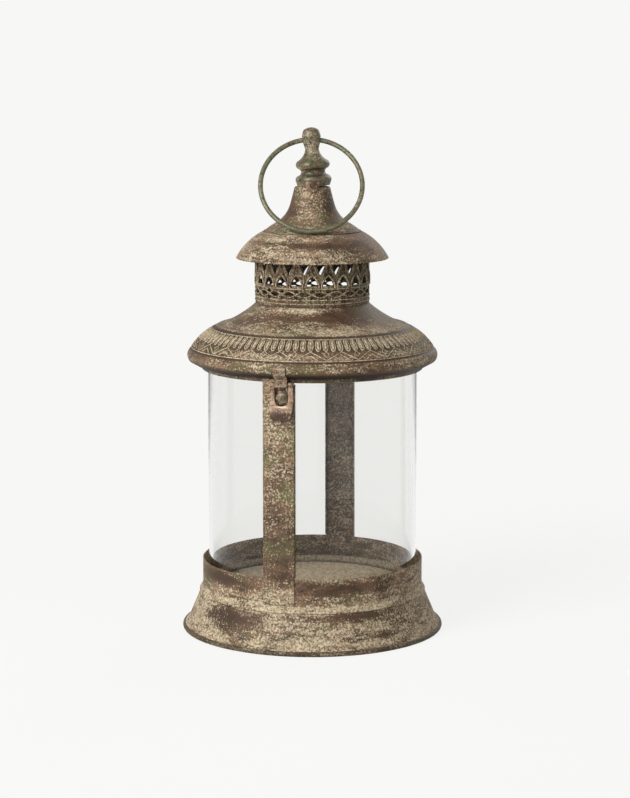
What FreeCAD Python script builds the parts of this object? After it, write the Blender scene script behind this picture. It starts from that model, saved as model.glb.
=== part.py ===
import FreeCAD, Part
import math
import os

# Punched tin lantern: a flared foot and collar, a loose glass chimney, a hinged roof with a
# punched gallery, hood and cone, and a carrying ring through the ball of a turned finial.
# Millimetres, +Z up. The origin is the middle of the foot's underside, the hasp is at the
# front (-Y) and the roof hinge at the back (+Y). R is a distance from the lantern's axis.

# Sheet, fits and cuts
SHEET = 0.8
SOLDER_GAP = 0.05
RUNNING_GAP = 0.05
SEAT_GAP = 0.45
OVERRUN = 4.0
MITRE_REACH_SHARE = 3

# Frame: collar and top ring share one outside radius, so that the straps lie on both
FRAME_R = 67.8

# Foot
FOOT_OUT = 12.7
FOOT_BEAD_R = 1.6
FOOT_WIRE_R = 0.8
FOOT_REST_FLAT = 0.3
FOOT_H = 23.7
SKIRT_SUNK = 0.25
SKIRT_FLARE_SHARES = ((0.769, 0.159), (0.638, 0.283))

# Collar, with its flared hem over the skirt, and the tray soldered inside
HEM_OUT = 2.2
HEM_H = 3.6
COLLAR_H = 20.0
LAP_H = 3.7
FLOOR_LIFT = 2.3
PLATFORM_H = 1.0
PLATFORM_GAP = 0.6

# Glass chimney
GLASS_GAP = 1.3
GLASS_WALL = 2.8
GLASS_LAP = 10.6
GLASS_LIP_R = 0.7

# Straps
STRAP_W = 19.4
FRONT_STRAP_OFF_DEG = -1.3
STRAP_FLANGE = 2.8
STRAP_FOOT_LIFT = 0.7
STRAP_TOP_LAP = 3.6
STRAP_FLANGE_END_GAP = 0.9

# Top ring
WINDOW_H = 117.7
RING_ROLL_R = 1.2

# Roof, from its lip to the neck inside the gallery
ROOF_OUT = 8.7
ROOF_LIP_GAP = 1.35
ROOF_LIP_LIFT = 2.6
ROOF_H = 38.0
ROOF_NECK_LAP = 4.5
ROOF_UNDER_SHARES = (0.976, 0.079)
ROOF_ROLL_SHARES = ((1.0, 0.163), (0.938, 0.287))
ROOF_BAND_SHARES = ((0.811, 0.45), (0.6335, 0.587))
ROOF_BEAD_SHARES = ((0.586, 0.625), (0.49, 0.655))
ROOF_SLOPE_SHARES = (0.226, 0.808)

# Gallery and its punched openings, whose heights are above the gallery's foot
GALLERY_R = 34.75
GALLERY_REPEATS = 22
GALLERY_PITCH_DEG = 16.0
GALLERY_SEAM_REPEATS = 5
TRIANGLE_W = 7.4
TRIANGLE_LOW = 19.0
TRIANGLE_HIGH = 27.3
ARCH_W = 6.8
ARCH_LOW = 12.8
ARCH_HIGH = 18.4
ARCH_BULGE = 0.55
OVAL_W = 6.4
OVAL_H = 2.45
OVAL_MID = 7.7
DART_W = 3.5
DART_H = 1.9
DART_UPPER_MID = 9.6
DART_LOWER_MID = 5.6
DART_BULGE = 0.2

# Hood, with a nearly level top that carries the cone
HOOD_R = 46.5
HOOD_RIM_LIFT = 27.0
HOOD_H = 15.9
HOOD_SHOULDER_R = 30.4
HOOD_TOP_RISE = 0.3
HOOD_HOLE_R = 20.0
HOOD_ARC_SHARES = (0.652, 0.503)

# Cone, closed by a plate with a hole for the finial's stud
CONE_R = 28.9
CONE_TOP_R = 10.9
CONE_FOOT_LIFT = 0.75
CONE_H = 26.45
CONE_TOP_BEVEL = 0.6
CONE_HOLE_R = 2.4
CONE_FOOT_SHARES = ((0.889, 0.06), (0.683, 0.154))
CONE_FLARE_SHARES = ((0.339, 0.343), (0.161, 0.559))
CONE_STEM_SHARES = (0.072, 0.778)

# Finial, cast and turned; it leans on its stud, square to the line that it faces
FINIAL_TURN_DEG = 15.8
FINIAL_LEAN_DEG = 3.0
FINIAL_SHIFT = 0.9
FINIAL_H = 35.1
FLANGE_R = 10.9
FLANGE_FOOT_R = 9.8
WAIST_R = 7.3
KNOB_R = 10.3
NECK_R = 4.1
BALL_R = 5.7
FLANGE_SHARES = (0.088, 0.142, 0.18)
FLANGE_TOP_R = 8.9
FLANGE_ROUND_SHARE = 0.85
WAIST_H_SHARES = (0.236, 0.298)
KNOB_H_SHARES = (0.364, 0.428)
KNOB_SHOULDER_R = 9.1
NECK_MID_R = 5.55
NECK_H_SHARES = (0.519, 0.62)
THROAT_R_SHARES = (0.78, 0.91)
THROAT_H_SHARES = (0.666, 0.727)
BALL_H_SHARES = (0.837, 0.955)
BALL_EDGE_R_SHARE = 0.81

# Finial stud, washer and nut under the cone's plate, and the tab soldered over the joint
STUD_R = 1.5
STUD_SUNK = 8.0
STUD_TAIL = 1.2
WASHER_R = 4.0
WASHER_T = 0.6
NUT_ACROSS_FLATS = 5.5
NUT_T = 2.4
NUT_SIDES = 6
TAB_W = 8.4
TAB_H = 6.6
TAB_T = 1.0
TAB_DROP = 2.9
TAB_GAP = 0.15

# Carrying ring
RING_R = 30.55
RING_WIRE_R = 1.5
RING_HOLE_H_SHARE = 0.783
RING_HOLE_GAP = 0.36
RING_REST_GAP = 0.4
RING_REST_STEPS = 24

# Roof hinge
HINGE_AXIS_OUT = 3.55
HINGE_AXIS_DROP = 0.6
HINGE_PIN_R = 1.2
HINGE_KNUCKLE_R = 2.2
HINGE_W = 15.0
HINGE_MID_W = 5.8
HINGE_SIDE_GAP = 0.2
HINGE_PIN_PROUD = 0.7
LEAF_H = 14.8
LEAF_JOGGLE_LOW = 4.8
LEAF_JOGGLE_HIGH = 1.8
LEAF_NOTCH_DROP = 3.3
LEAF_CORNER_R = 2.0
KNUCKLE_STEP = 0.05
WRAP_DEG = 10.0
RIVET_R = 0.8
RIVET_HEAD_R = 1.6
RIVET_HEAD_T = 0.9
RIVET_PEEN_T = 0.6
RIVET_SPREAD = 9.2
RIVET_DROP = 10.6

# Hasp, its hanger under the roof's rim, and the stud that it drops over
HASP_AXIS_OUT = 2.35
HASP_AXIS_DROP = 0.4
HASP_W = 13.8
HASP_H = 20.7
HASP_T = 1.0
HASP_SLOT_W = 8.4
HASP_SLOT_H = 12.8
HASP_SLOT_CORNER_R = 3.9
HASP_BAR_R = 1.0
HASP_EYE_R = 1.4
HASP_BEND_H = 1.9
HASP_LIP_OUT = 1.5
HASP_LIP_MID_SHARES = (0.45, 0.5)
HASP_TIP_OUT = 3.6
HASP_CORNER_R = 4.6
HANGER_W = 7.5
HANGER_KNUCKLE_R = 2.0
LATCH_DROP = 8.6
LATCH_OFF_DEG = 1.1
LATCH_HEAD_R = 3.75
LATCH_NECK_R = 2.4
LATCH_SHANK_R = 1.5
LATCH_PEEN_R = 2.6
LATCH_PEEN_T = 0.7
LATCH_NECK_H = 0.7
LATCH_EDGE_H = 1.0
LATCH_DOME_H = 1.0

# Heights and radii that follow from the sizes above
FOOT_R = FRAME_R + FOOT_OUT
HEM_R = FRAME_R + HEM_OUT
ROOF_R = FRAME_R + ROOF_OUT
BEAD_MID_R = FOOT_R - FOOT_BEAD_R
BEAD_MID_Z = FOOT_BEAD_R - FOOT_REST_FLAT
FLOOR_Z = FOOT_H + FLOOR_LIFT
COLLAR_TOP = FOOT_H + COLLAR_H
LAP_TOP = FOOT_H + HEM_H + LAP_H
RING_LOW = COLLAR_TOP + WINDOW_H
LAP_R = FRAME_R - SHEET - SOLDER_GAP
TRAY_R = LAP_R - SHEET - SOLDER_GAP
GLASS_R = TRAY_R - SHEET - GLASS_GAP
STRAP_IN_R = FRAME_R + SOLDER_GAP
STRAP_OUT_R = STRAP_IN_R + SHEET
STRAP_TOP = RING_LOW + STRAP_TOP_LAP
ROOF_LIP_R = STRAP_OUT_R + ROOF_LIP_GAP
ROOF_LIP_Z = RING_LOW + ROOF_LIP_LIFT
ROOF_TOP_Z = ROOF_LIP_Z + ROOF_H
NECK_WALL_R = GALLERY_R - SHEET - SOLDER_GAP
GALLERY_LOW = ROOF_TOP_Z + SOLDER_GAP
HOOD_RIM_Z = ROOF_TOP_Z + HOOD_RIM_LIFT
HOOD_TOP_Z = HOOD_RIM_Z + HOOD_H
CONE_LOW = HOOD_TOP_Z + CONE_FOOT_LIFT
CONE_TOP_Z = CONE_LOW + CONE_H
FINIAL_LIFT = FLANGE_FOOT_R * math.sin(math.radians(FINIAL_LEAN_DEG)) + SOLDER_GAP
HINGE_R = STRAP_OUT_R + HINGE_AXIS_OUT
HINGE_Z = RING_LOW - HINGE_AXIS_DROP
HASP_R = STRAP_OUT_R + HASP_AXIS_OUT
HASP_Z = RING_LOW - HASP_AXIS_DROP
LATCH_Z = HASP_Z - LATCH_DROP

ORIGIN = FreeCAD.Vector(0, 0, 0)
X_AXIS = FreeCAD.Vector(1, 0, 0)
Y_AXIS = FreeCAD.Vector(0, 1, 0)
Z_AXIS = FreeCAD.Vector(0, 0, 1)
FULL_TURN = 360
QUARTER_TURN = 90
FRONT = -QUARTER_TURN
LATCH_TURN = FRONT + LATCH_OFF_DEG
BACK = QUARTER_TURN


def rz(radius, height):
    """A point of a section, which lies in the plane through the axis and +X."""
    return FreeCAD.Vector(radius, 0, height)


def outline(start, *legs):
    """Edges from start; a leg is the end of a straight line, or (via, end) of an arc."""
    edges = []
    at = start
    for leg in legs:
        if isinstance(leg, tuple):
            via, end = leg
            edges.append(Part.Arc(at, via, end).toShape())
        else:
            end = leg
            edges.append(Part.LineSegment(at, end).toShape())
        at = end
    return edges


def between(low, high, share):
    return low + (high - low) * share


def meeting(before, after):
    """Where two moved legs meet, near the end of the one and the start of the other."""
    near = (before[-1] + after[0]) / 2
    reach = before[-1].distanceToPoint(after[0]) * MITRE_REACH_SHARE
    curves = [Part.Circle(*leg) if len(leg) == 3 else Part.Line(*leg) for leg in (before, after)]
    found = [FreeCAD.Vector(p.X, p.Y, p.Z) for p in curves[0].intersectCC(curves[1])]
    found.sort(key=near.distanceToPoint)
    if found and near.distanceToPoint(found[0]) < reach:
        return found[0]
    return near


def shifted(edges, distance):
    """The outline moved to its left as it is drawn: towards the axis, on one drawn upwards."""
    legs = []
    for edge in edges:
        first, last = edge.FirstParameter, edge.LastParameter
        marks = [first, last]
        if isinstance(edge.Curve, Part.Circle):
            marks.insert(1, (first + last) / 2)
        leg = []
        for mark in marks:
            run = edge.tangentAt(mark)
            leg.append(edge.valueAt(mark) + FreeCAD.Vector(-run.z, 0, run.x) * distance)
        legs.append(leg)
    for before, after in zip(legs, legs[1:]):
        before[-1] = after[0] = meeting(before, after)
    return outline(legs[0][0], *(tuple(leg[1:]) if len(leg) == 3 else leg[1] for leg in legs))


def closed_face(edges):
    return Part.Face(Part.Wire(Part.__sortEdges__(edges)))


def sheet_face(edges, thickness):
    """The section of a sheet whose outside is the outline."""
    back = shifted(edges, thickness)
    caps = [
        Part.makeLine(edges[0].firstVertex().Point, back[0].firstVertex().Point),
        Part.makeLine(edges[-1].lastVertex().Point, back[-1].lastVertex().Point),
    ]
    return closed_face(edges + back + caps)


def spun(face):
    return face.revolve(ORIGIN, Z_AXIS, FULL_TURN)


def turned_sheet(edges, thickness=SHEET):
    return spun(sheet_face(edges, thickness))


def turned_solid(edges):
    return spun(closed_face(edges))


def height_at(edges, radius):
    """Lowest height at which an outline stands over a radius."""
    upright = Part.makeLine(rz(radius, 0), rz(radius, CONE_TOP_Z))
    return min(pair[0].z for pair in Part.Wire(edges).distToShape(upright)[1])


def radius_at(edges, height):
    """Largest radius of an outline at a height."""
    level = Part.makeLine(rz(0, height), rz(CONE_R, height))
    return max(pair[0].x for pair in Part.Wire(edges).distToShape(level)[1])


def crown(edge, top):
    """The last leg of a domed end: from edge to top, on an arc centred on the axis."""
    drop = top.z - edge.z
    radius = (edge.x**2 + drop**2) / (drop * 2)
    centre_z = top.z - radius
    half = math.atan2(edge.x, edge.z - centre_z) / 2
    return rz(radius * math.sin(half), centre_z + radius * math.cos(half)), top


def bar(radius, length, middle, direction):
    """A round bar whose middle is given."""
    start = middle - direction * (length / 2)
    return Part.makeCylinder(radius, length, start, direction)


def slab(face, width):
    """A section, in the plane of the axis and +X, made as wide as given to both sides."""
    moved = face.translated(Y_AXIS * (-width / 2))
    return moved.extrude(Y_AXIS * width)


def turn(shape, degrees):
    return shape.rotated(ORIGIN, Z_AXIS, degrees)


def radial(shape, degrees, height):
    """Turns a shape that stands on +Z so that it points away from the axis."""
    lying = shape.rotated(ORIGIN, Y_AXIS, QUARTER_TURN)
    return turn(lying.translated(Z_AXIS * height), degrees)


def rounded_blank(width, low, high, corner):
    """A block across the radius, through everything, with its two lower corners rounded."""
    half = width / 2
    reach = HINGE_R + HINGE_KNUCKLE_R + HASP_TIP_OUT + OVERRUN
    slack = corner * (1 - math.sqrt(0.5))

    def at(across, height):
        return FreeCAD.Vector(0, across, height)

    edges = outline(
        at(-half, high),
        at(-half, low + corner),
        (at(-half + slack, low + slack), at(-half + corner, low)),
        at(half - corner, low),
        (at(half - slack, low + slack), at(half, low + corner)),
        at(half, high),
        at(-half, high),
    )
    return closed_face(edges).extrude(X_AXIS * reach)


def foot_skirt():
    slant = math.atan((HEM_R - FRAME_R) / HEM_H)
    shoulder_r = HEM_R - (SHEET + SOLDER_GAP) / math.cos(slant)
    bend_z = FOOT_H + (shoulder_r - LAP_R) / math.tan(slant)
    foot_z = BEAD_MID_Z + FOOT_BEAD_R - SKIRT_SUNK

    def at(share_out, share_up):
        return rz(between(shoulder_r, BEAD_MID_R, share_out), between(foot_z, FOOT_H, share_up))

    via, flare_top = SKIRT_FLARE_SHARES
    edges = outline(
        rz(BEAD_MID_R, foot_z),
        (at(*via), at(*flare_top)),
        rz(shoulder_r, FOOT_H),
        rz(LAP_R, bend_z),
        rz(LAP_R, LAP_TOP),
    )
    middle = rz(0, BEAD_MID_Z)
    bead = Part.makeTorus(BEAD_MID_R, FOOT_BEAD_R, middle, Z_AXIS)
    bore = Part.makeTorus(BEAD_MID_R, FOOT_WIRE_R + SOLDER_GAP, middle, Z_AXIS)
    reach = FOOT_R + OVERRUN
    under = Part.makeCylinder(reach, OVERRUN, rz(0, -OVERRUN), Z_AXIS)
    return turned_sheet(edges).fuse(bead).cut(bore).cut(under)


def foot_edge_wire():
    return Part.makeTorus(BEAD_MID_R, FOOT_WIRE_R, rz(0, BEAD_MID_Z), Z_AXIS)


def base_collar():
    edges = outline(rz(HEM_R, FOOT_H), rz(FRAME_R, FOOT_H + HEM_H), rz(FRAME_R, COLLAR_TOP))
    return turned_sheet(edges)


def floor_tray():
    """Drawn along its underside: a raised platform centres the glass, a flange is soldered in."""
    platform_r = GLASS_R - GLASS_WALL - PLATFORM_GAP
    low = FLOOR_Z - SHEET
    edges = outline(
        rz(0, low + PLATFORM_H),
        rz(platform_r - PLATFORM_H, low + PLATFORM_H),
        rz(platform_r, low),
        rz(TRAY_R, low),
        rz(TRAY_R, LAP_TOP),
    )
    return turned_sheet(edges)


def glass_chimney():
    high = RING_LOW + GLASS_LAP
    outside = Part.makeCylinder(GLASS_R, high - FLOOR_Z, rz(0, FLOOR_Z), Z_AXIS)
    inside = Part.makeCylinder(GLASS_R - GLASS_WALL, high, rz(0, 0), Z_AXIS)
    wall = outside.cut(inside)
    rims = [e for e in wall.Edges if isinstance(e.Curve, Part.Circle)]
    return wall.makeFillet(GLASS_LIP_R, rims)


def strap():
    """Lies along the front of collar and top ring, with stiffening flanges between the two."""
    low = FOOT_H + HEM_H + STRAP_FOOT_LIFT
    tall = STRAP_TOP - low
    half = STRAP_W / 2
    tube = Part.makeCylinder(STRAP_OUT_R, tall, rz(0, low), Z_AXIS)
    tube = tube.cut(Part.makeCylinder(STRAP_IN_R, tall, rz(0, low), Z_AXIS))
    front = Part.makeBox(STRAP_W, STRAP_OUT_R, tall, FreeCAD.Vector(-half, -STRAP_OUT_R, low))
    plate = tube.common(front)
    edge_y = math.sqrt(STRAP_OUT_R**2 - half**2) - SHEET / 2
    flange_low = COLLAR_TOP + STRAP_FLANGE_END_GAP
    flange_tall = RING_LOW - STRAP_FLANGE_END_GAP - flange_low
    for left in (-half, half - SHEET):
        corner = FreeCAD.Vector(left, -edge_y, flange_low)
        plate = plate.fuse(Part.makeBox(SHEET, STRAP_FLANGE, flange_tall, corner))
    return plate.removeSplitter()


def front_strap():
    hole = Part.makeCylinder(LATCH_SHANK_R + SOLDER_GAP, STRAP_OUT_R + OVERRUN)
    return turn(strap(), FRONT_STRAP_OFF_DEG).cut(radial(hole, LATCH_TURN, LATCH_Z))


def rivet_places():
    """Sideways place of each rivet of the lower hinge leaf."""
    return (-RIVET_SPREAD / 2, RIVET_SPREAD / 2)


def rivet_z():
    return HINGE_Z - RIVET_DROP


def rear_strap():
    shape = turn(strap(), FULL_TURN / 2)
    for across in rivet_places():
        hole = Part.makeCylinder(RIVET_R + SOLDER_GAP, STRAP_OUT_R + OVERRUN)
        shape = shape.cut(turn(radial(hole, 0, rivet_z()).translated(Y_AXIS * across), BACK))
    return shape


def roof_outline():
    """The roof's outside, from the lip round the rim roll, the band and the slope to the neck."""

    def at(share_out, share_up):
        radius = between(NECK_WALL_R, ROOF_R, share_out)
        return rz(radius, between(ROOF_LIP_Z, ROOF_TOP_Z, share_up))

    def bend(shares):
        return at(*shares[0]), at(*shares[1])

    return outline(
        rz(ROOF_LIP_R, ROOF_LIP_Z),
        at(*ROOF_UNDER_SHARES),
        bend(ROOF_ROLL_SHARES),
        bend(ROOF_BAND_SHARES),
        bend(ROOF_BEAD_SHARES),
        (at(*ROOF_SLOPE_SHARES), rz(NECK_WALL_R, ROOF_TOP_Z)),
        rz(NECK_WALL_R, ROOF_TOP_Z + ROOF_NECK_LAP),
    )


def roof_shell():
    return turned_sheet(roof_outline())


def top_ring():
    """Its lower edge is rolled inwards, and its upper edge carries the roof."""
    high = height_at(shifted(roof_outline()[2:], SHEET), FRAME_R) - SEAT_GAP
    edges = outline(
        rz(FRAME_R - RING_ROLL_R * 2, RING_LOW + RING_ROLL_R),
        (rz(FRAME_R - RING_ROLL_R, RING_LOW), rz(FRAME_R, RING_LOW + RING_ROLL_R)),
        rz(FRAME_R, high),
    )
    return turned_sheet(edges)


def hood_outline():
    via_out, via_up = HOOD_ARC_SHARES
    via = rz(between(HOOD_SHOULDER_R, HOOD_R, via_out), between(HOOD_RIM_Z, HOOD_TOP_Z, via_up))
    return outline(
        rz(HOOD_R, HOOD_RIM_Z),
        (via, rz(HOOD_SHOULDER_R, HOOD_TOP_Z)),
        rz(HOOD_HOLE_R, HOOD_TOP_Z + HOOD_TOP_RISE),
    )


def hood():
    return turned_sheet(hood_outline())


def punch(edges, degrees):
    """A punch through the gallery's wall; its outline is drawn across and up."""
    face = closed_face(edges).translated(X_AXIS * (GALLERY_R - OVERRUN))
    return turn(face.extrude(X_AXIS * (OVERRUN * 2)), degrees)


def across_up(across, height):
    return FreeCAD.Vector(0, across, GALLERY_LOW + height)


def triangle_edges():
    half = TRIANGLE_W / 2
    apex = across_up(0, TRIANGLE_LOW)
    left, right = across_up(-half, TRIANGLE_HIGH), across_up(half, TRIANGLE_HIGH)
    return outline(apex, right, left, apex)


def pointed_edges(width, low, high, bulge):
    """A shape with a level foot and bowed sides that meet in a point."""
    half = width / 2
    middle = (low + high) / 2
    apex = across_up(0, high)
    left, right = across_up(-half, low), across_up(half, low)
    return outline(
        left,
        right,
        (across_up(half / 2 + bulge, middle), apex),
        (across_up(-half / 2 - bulge, middle), left),
    )


def oval_edges():
    half = OVAL_W / 2
    left, right = across_up(-half, OVAL_MID), across_up(half, OVAL_MID)
    return outline(
        left,
        (across_up(0, OVAL_MID - OVAL_H / 2), right),
        (across_up(0, OVAL_MID + OVAL_H / 2), left),
    )


def gallery():
    """A punched band: an arch faces as the finial does, with triangles and ovals between arches.
    The strip's pitch leaves a plain lap for its seam, some repeats to the right of that arch."""
    high = height_at(shifted(hood_outline(), SHEET), GALLERY_R) - SEAT_GAP
    band = turned_sheet(outline(rz(GALLERY_R, GALLERY_LOW), rz(GALLERY_R, high)))
    dart_half = DART_H / 2
    arch = pointed_edges(ARCH_W, ARCH_LOW, ARCH_HIGH, ARCH_BULGE)
    upper, lower = (
        pointed_edges(DART_W, middle + sign * dart_half, middle - sign * dart_half, DART_BULGE)
        for middle, sign in ((DART_UPPER_MID, -1), (DART_LOWER_MID, 1))
    )
    pitch = GALLERY_PITCH_DEG
    first = FRONT + FINIAL_TURN_DEG + pitch * (GALLERY_SEAM_REPEATS - GALLERY_REPEATS + 1)
    punches = []
    for n in range(GALLERY_REPEATS):
        in_line = first + pitch * n
        punches += [punch(edges, in_line) for edges in (arch, upper, lower)]
        if n:
            halfway = in_line - pitch / 2
            punches += [punch(edges, halfway) for edges in (triangle_edges(), oval_edges())]
    return band.cut(punches)


def cone_outline():
    def at(share_out, share_up):
        return rz(between(CONE_TOP_R, CONE_R, share_out), between(CONE_LOW, CONE_TOP_Z, share_up))

    def bend(shares):
        return at(*shares[0]), at(*shares[1])

    return outline(
        rz(CONE_R, CONE_LOW),
        bend(CONE_FOOT_SHARES),
        bend(CONE_FLARE_SHARES),
        (at(*CONE_STEM_SHARES), rz(CONE_TOP_R, CONE_TOP_Z - CONE_TOP_BEVEL)),
        rz(CONE_TOP_R - CONE_TOP_BEVEL, CONE_TOP_Z),
        rz(CONE_HOLE_R, CONE_TOP_Z),
    )


def cone():
    return turned_sheet(cone_outline())


def on_finial(shape):
    """Moves a shape from the finial's own axis, with its base at the origin, to its place."""
    leaning = shape.rotated(ORIGIN, Y_AXIS, -FINIAL_LEAN_DEG)
    placed = leaning.translated(FreeCAD.Vector(FINIAL_SHIFT, 0, CONE_TOP_Z + FINIAL_LIFT))
    return turn(placed, FINIAL_TURN_DEG)


def ring_hole_middle():
    lean = math.radians(FINIAL_LEAN_DEG)
    up = FINIAL_H * RING_HOLE_H_SHARE
    across = FINIAL_SHIFT - up * math.sin(lean)
    height = CONE_TOP_Z + FINIAL_LIFT + up * math.cos(lean)
    return FreeCAD.Vector(across, 0, height)


def ring_sagitta():
    """How far the ring's curve departs from straight inside the ball."""
    return RING_R - math.sqrt(RING_R**2 - BALL_R**2)


def finial():
    def at(radius, share_up):
        return rz(radius, FINIAL_H * share_up)

    flange_via_r = between(FLANGE_TOP_R, FLANGE_R, FLANGE_ROUND_SHARE)
    throat_r, ball_foot_r = (BALL_R * share for share in THROAT_R_SHARES)
    ball_edge = at(BALL_R * BALL_EDGE_R_SHARE, BALL_H_SHARES[1])
    edges = outline(
        ORIGIN,
        at(FLANGE_FOOT_R, 0),
        at(FLANGE_R, FLANGE_SHARES[0]),
        (at(flange_via_r, FLANGE_SHARES[1]), at(FLANGE_TOP_R, FLANGE_SHARES[2])),
        (at(WAIST_R, WAIST_H_SHARES[0]), at(FLANGE_TOP_R, WAIST_H_SHARES[1])),
        (at(KNOB_R, KNOB_H_SHARES[0]), at(KNOB_SHOULDER_R, KNOB_H_SHARES[1])),
        (at(NECK_MID_R, NECK_H_SHARES[0]), at(NECK_R, NECK_H_SHARES[1])),
        (at(throat_r, THROAT_H_SHARES[0]), at(ball_foot_r, THROAT_H_SHARES[1])),
        (at(BALL_R, BALL_H_SHARES[0]), ball_edge),
        crown(ball_edge, rz(0, FINIAL_H)),
        ORIGIN,
    )
    body = turned_solid(edges)
    socket = Part.makeCylinder(STUD_R + SOLDER_GAP, STUD_SUNK)
    body = on_finial(body.cut(socket))
    hole_r = RING_WIRE_R + ring_sagitta() / 2 + RING_HOLE_GAP
    hole = bar(hole_r, (BALL_R + OVERRUN) * 2, ring_hole_middle(), X_AXIS)
    return body.cut(turn(hole, FINIAL_TURN_DEG))


def washer_top():
    """Below the finial's base, along its own axis."""
    lean = math.radians(FINIAL_LEAN_DEG)
    return FINIAL_LIFT + SHEET + WASHER_R * math.sin(lean) + SOLDER_GAP


def finial_stud():
    low = washer_top() + WASHER_T + NUT_T + STUD_TAIL
    return on_finial(Part.makeCylinder(STUD_R, STUD_SUNK + low, rz(0, -low), Z_AXIS))


def finial_washer():
    low = rz(0, -washer_top() - WASHER_T)
    disc = Part.makeCylinder(WASHER_R, WASHER_T, low, Z_AXIS)
    return on_finial(disc.cut(Part.makeCylinder(STUD_R + SOLDER_GAP, WASHER_T, low, Z_AXIS)))


def finial_nut():
    low = rz(0, -washer_top() - WASHER_T - NUT_T)
    corner_r = NUT_ACROSS_FLATS / math.sqrt(3)
    corner = Part.Vertex(rz(corner_r, 0))
    corners = [turn(corner, n * FULL_TURN / NUT_SIDES).Point for n in range(NUT_SIDES + 1)]
    body = Part.Face(Part.makePolygon(corners)).extrude(Z_AXIS * NUT_T).translated(low)
    return on_finial(body.cut(Part.makeCylinder(STUD_R + SOLDER_GAP, NUT_T, low, Z_AXIS)))


def finial_tab():
    """A soldered tongue with a round foot, in front of the joint of finial and cone."""
    low = CONE_TOP_Z - TAB_DROP
    high = low + TAB_H
    stem_r = radius_at(cone_outline(), low)
    inner_low = stem_r + TAB_GAP
    inner_high = FLANGE_R + TAB_GAP
    blank = Part.makeCone(inner_low + TAB_T, inner_high + TAB_T, TAB_H, rz(0, low), Z_AXIS)
    blank = blank.cut(Part.makeCone(inner_low, inner_high, TAB_H, rz(0, low), Z_AXIS))
    tongue = rounded_blank(TAB_W, low, high, TAB_W / 2 - TAB_GAP)
    return turn(blank.common(tongue), FRONT + FINIAL_TURN_DEG)


def ring_rest_deg():
    """Lean of the hanging ring, from straight down, where its foot rests on the hood."""
    rest = [Part.Wire(hood_outline()), Part.Wire(cone_outline())]
    hole = ring_hole_middle()
    reach = RING_R * 2 - ring_sagitta() / 2
    near, far = 0, math.radians(QUARTER_TURN)
    for _ in range(RING_REST_STEPS):
        lean = (near + far) / 2
        foot = Part.Vertex(rz(reach * math.sin(lean), hole.z - reach * math.cos(lean)))
        gap = min(wire.distToShape(foot)[0] for wire in rest) - RING_WIRE_R
        if foot.Point.x > CONE_R / 2 and gap > RING_REST_GAP:
            far = lean
        else:
            near = lean
    return math.degrees(far)


def carry_ring():
    """Hangs in the ball and leans on the front of the hood."""
    lean = math.radians(ring_rest_deg())
    drop = RING_R - ring_sagitta() / 2
    down = FreeCAD.Vector(0, -math.sin(lean), -math.cos(lean))
    middle = ring_hole_middle() + down * drop
    loop = Part.makeTorus(RING_R, RING_WIRE_R, middle, down.cross(X_AXIS))
    return turn(loop, FINIAL_TURN_DEG)


def rim_strip(axis_r, axis_z, knuckle_r, width, wide):
    """A strip from a knuckle up to the roof's rim, along its underside and round its roll."""
    under, roll = shifted(roof_outline()[:2], -SOLDER_GAP * 2 - SHEET / 2)
    strip_r = axis_r + knuckle_r - SHEET / 2 - KNUCKLE_STEP
    corner = rz(strip_r, height_at([under], strip_r))
    knee = under.lastVertex().Point
    centre, radius = roll.Curve.Center, roll.Curve.Radius
    knee_angle = math.atan2(knee.z - centre.z, knee.x - centre.x)
    end_angle = math.radians(WRAP_DEG)

    def on_roll(angle):
        return centre + FreeCAD.Vector(radius * math.cos(angle), 0, radius * math.sin(angle))

    wrap = (on_roll((knee_angle + end_angle) / 2), on_roll(end_angle))
    stem = Part.Wire(outline(rz(strip_r, axis_z + SHEET), corner, knee))
    cap = Part.Wire(outline(corner, knee, wrap))
    parts = [
        slab(Part.Face(line.makeOffset2D(SHEET / 2, 0, False, False)), reach)
        for line, reach in ((stem, width), (cap, wide))
    ]
    return parts[0].fuse(parts[1])


def knuckle(axis_r, axis_z, outer_r, bore_r, shape, width):
    """Adds a knuckle to a strip and bores it."""
    middle = rz(axis_r, axis_z)
    shape = shape.fuse(bar(outer_r, width, middle, Y_AXIS))
    return shape.cut(bar(bore_r, width + OVERRUN, middle, Y_AXIS))


def hinge_upper_leaf():
    strip = rim_strip(HINGE_R, HINGE_Z, HINGE_KNUCKLE_R, HINGE_MID_W, HINGE_W)
    bore_r = HINGE_PIN_R + RUNNING_GAP
    leaf = knuckle(HINGE_R, HINGE_Z, HINGE_KNUCKLE_R, bore_r, strip, HINGE_MID_W)
    return turn(leaf, BACK)


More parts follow.
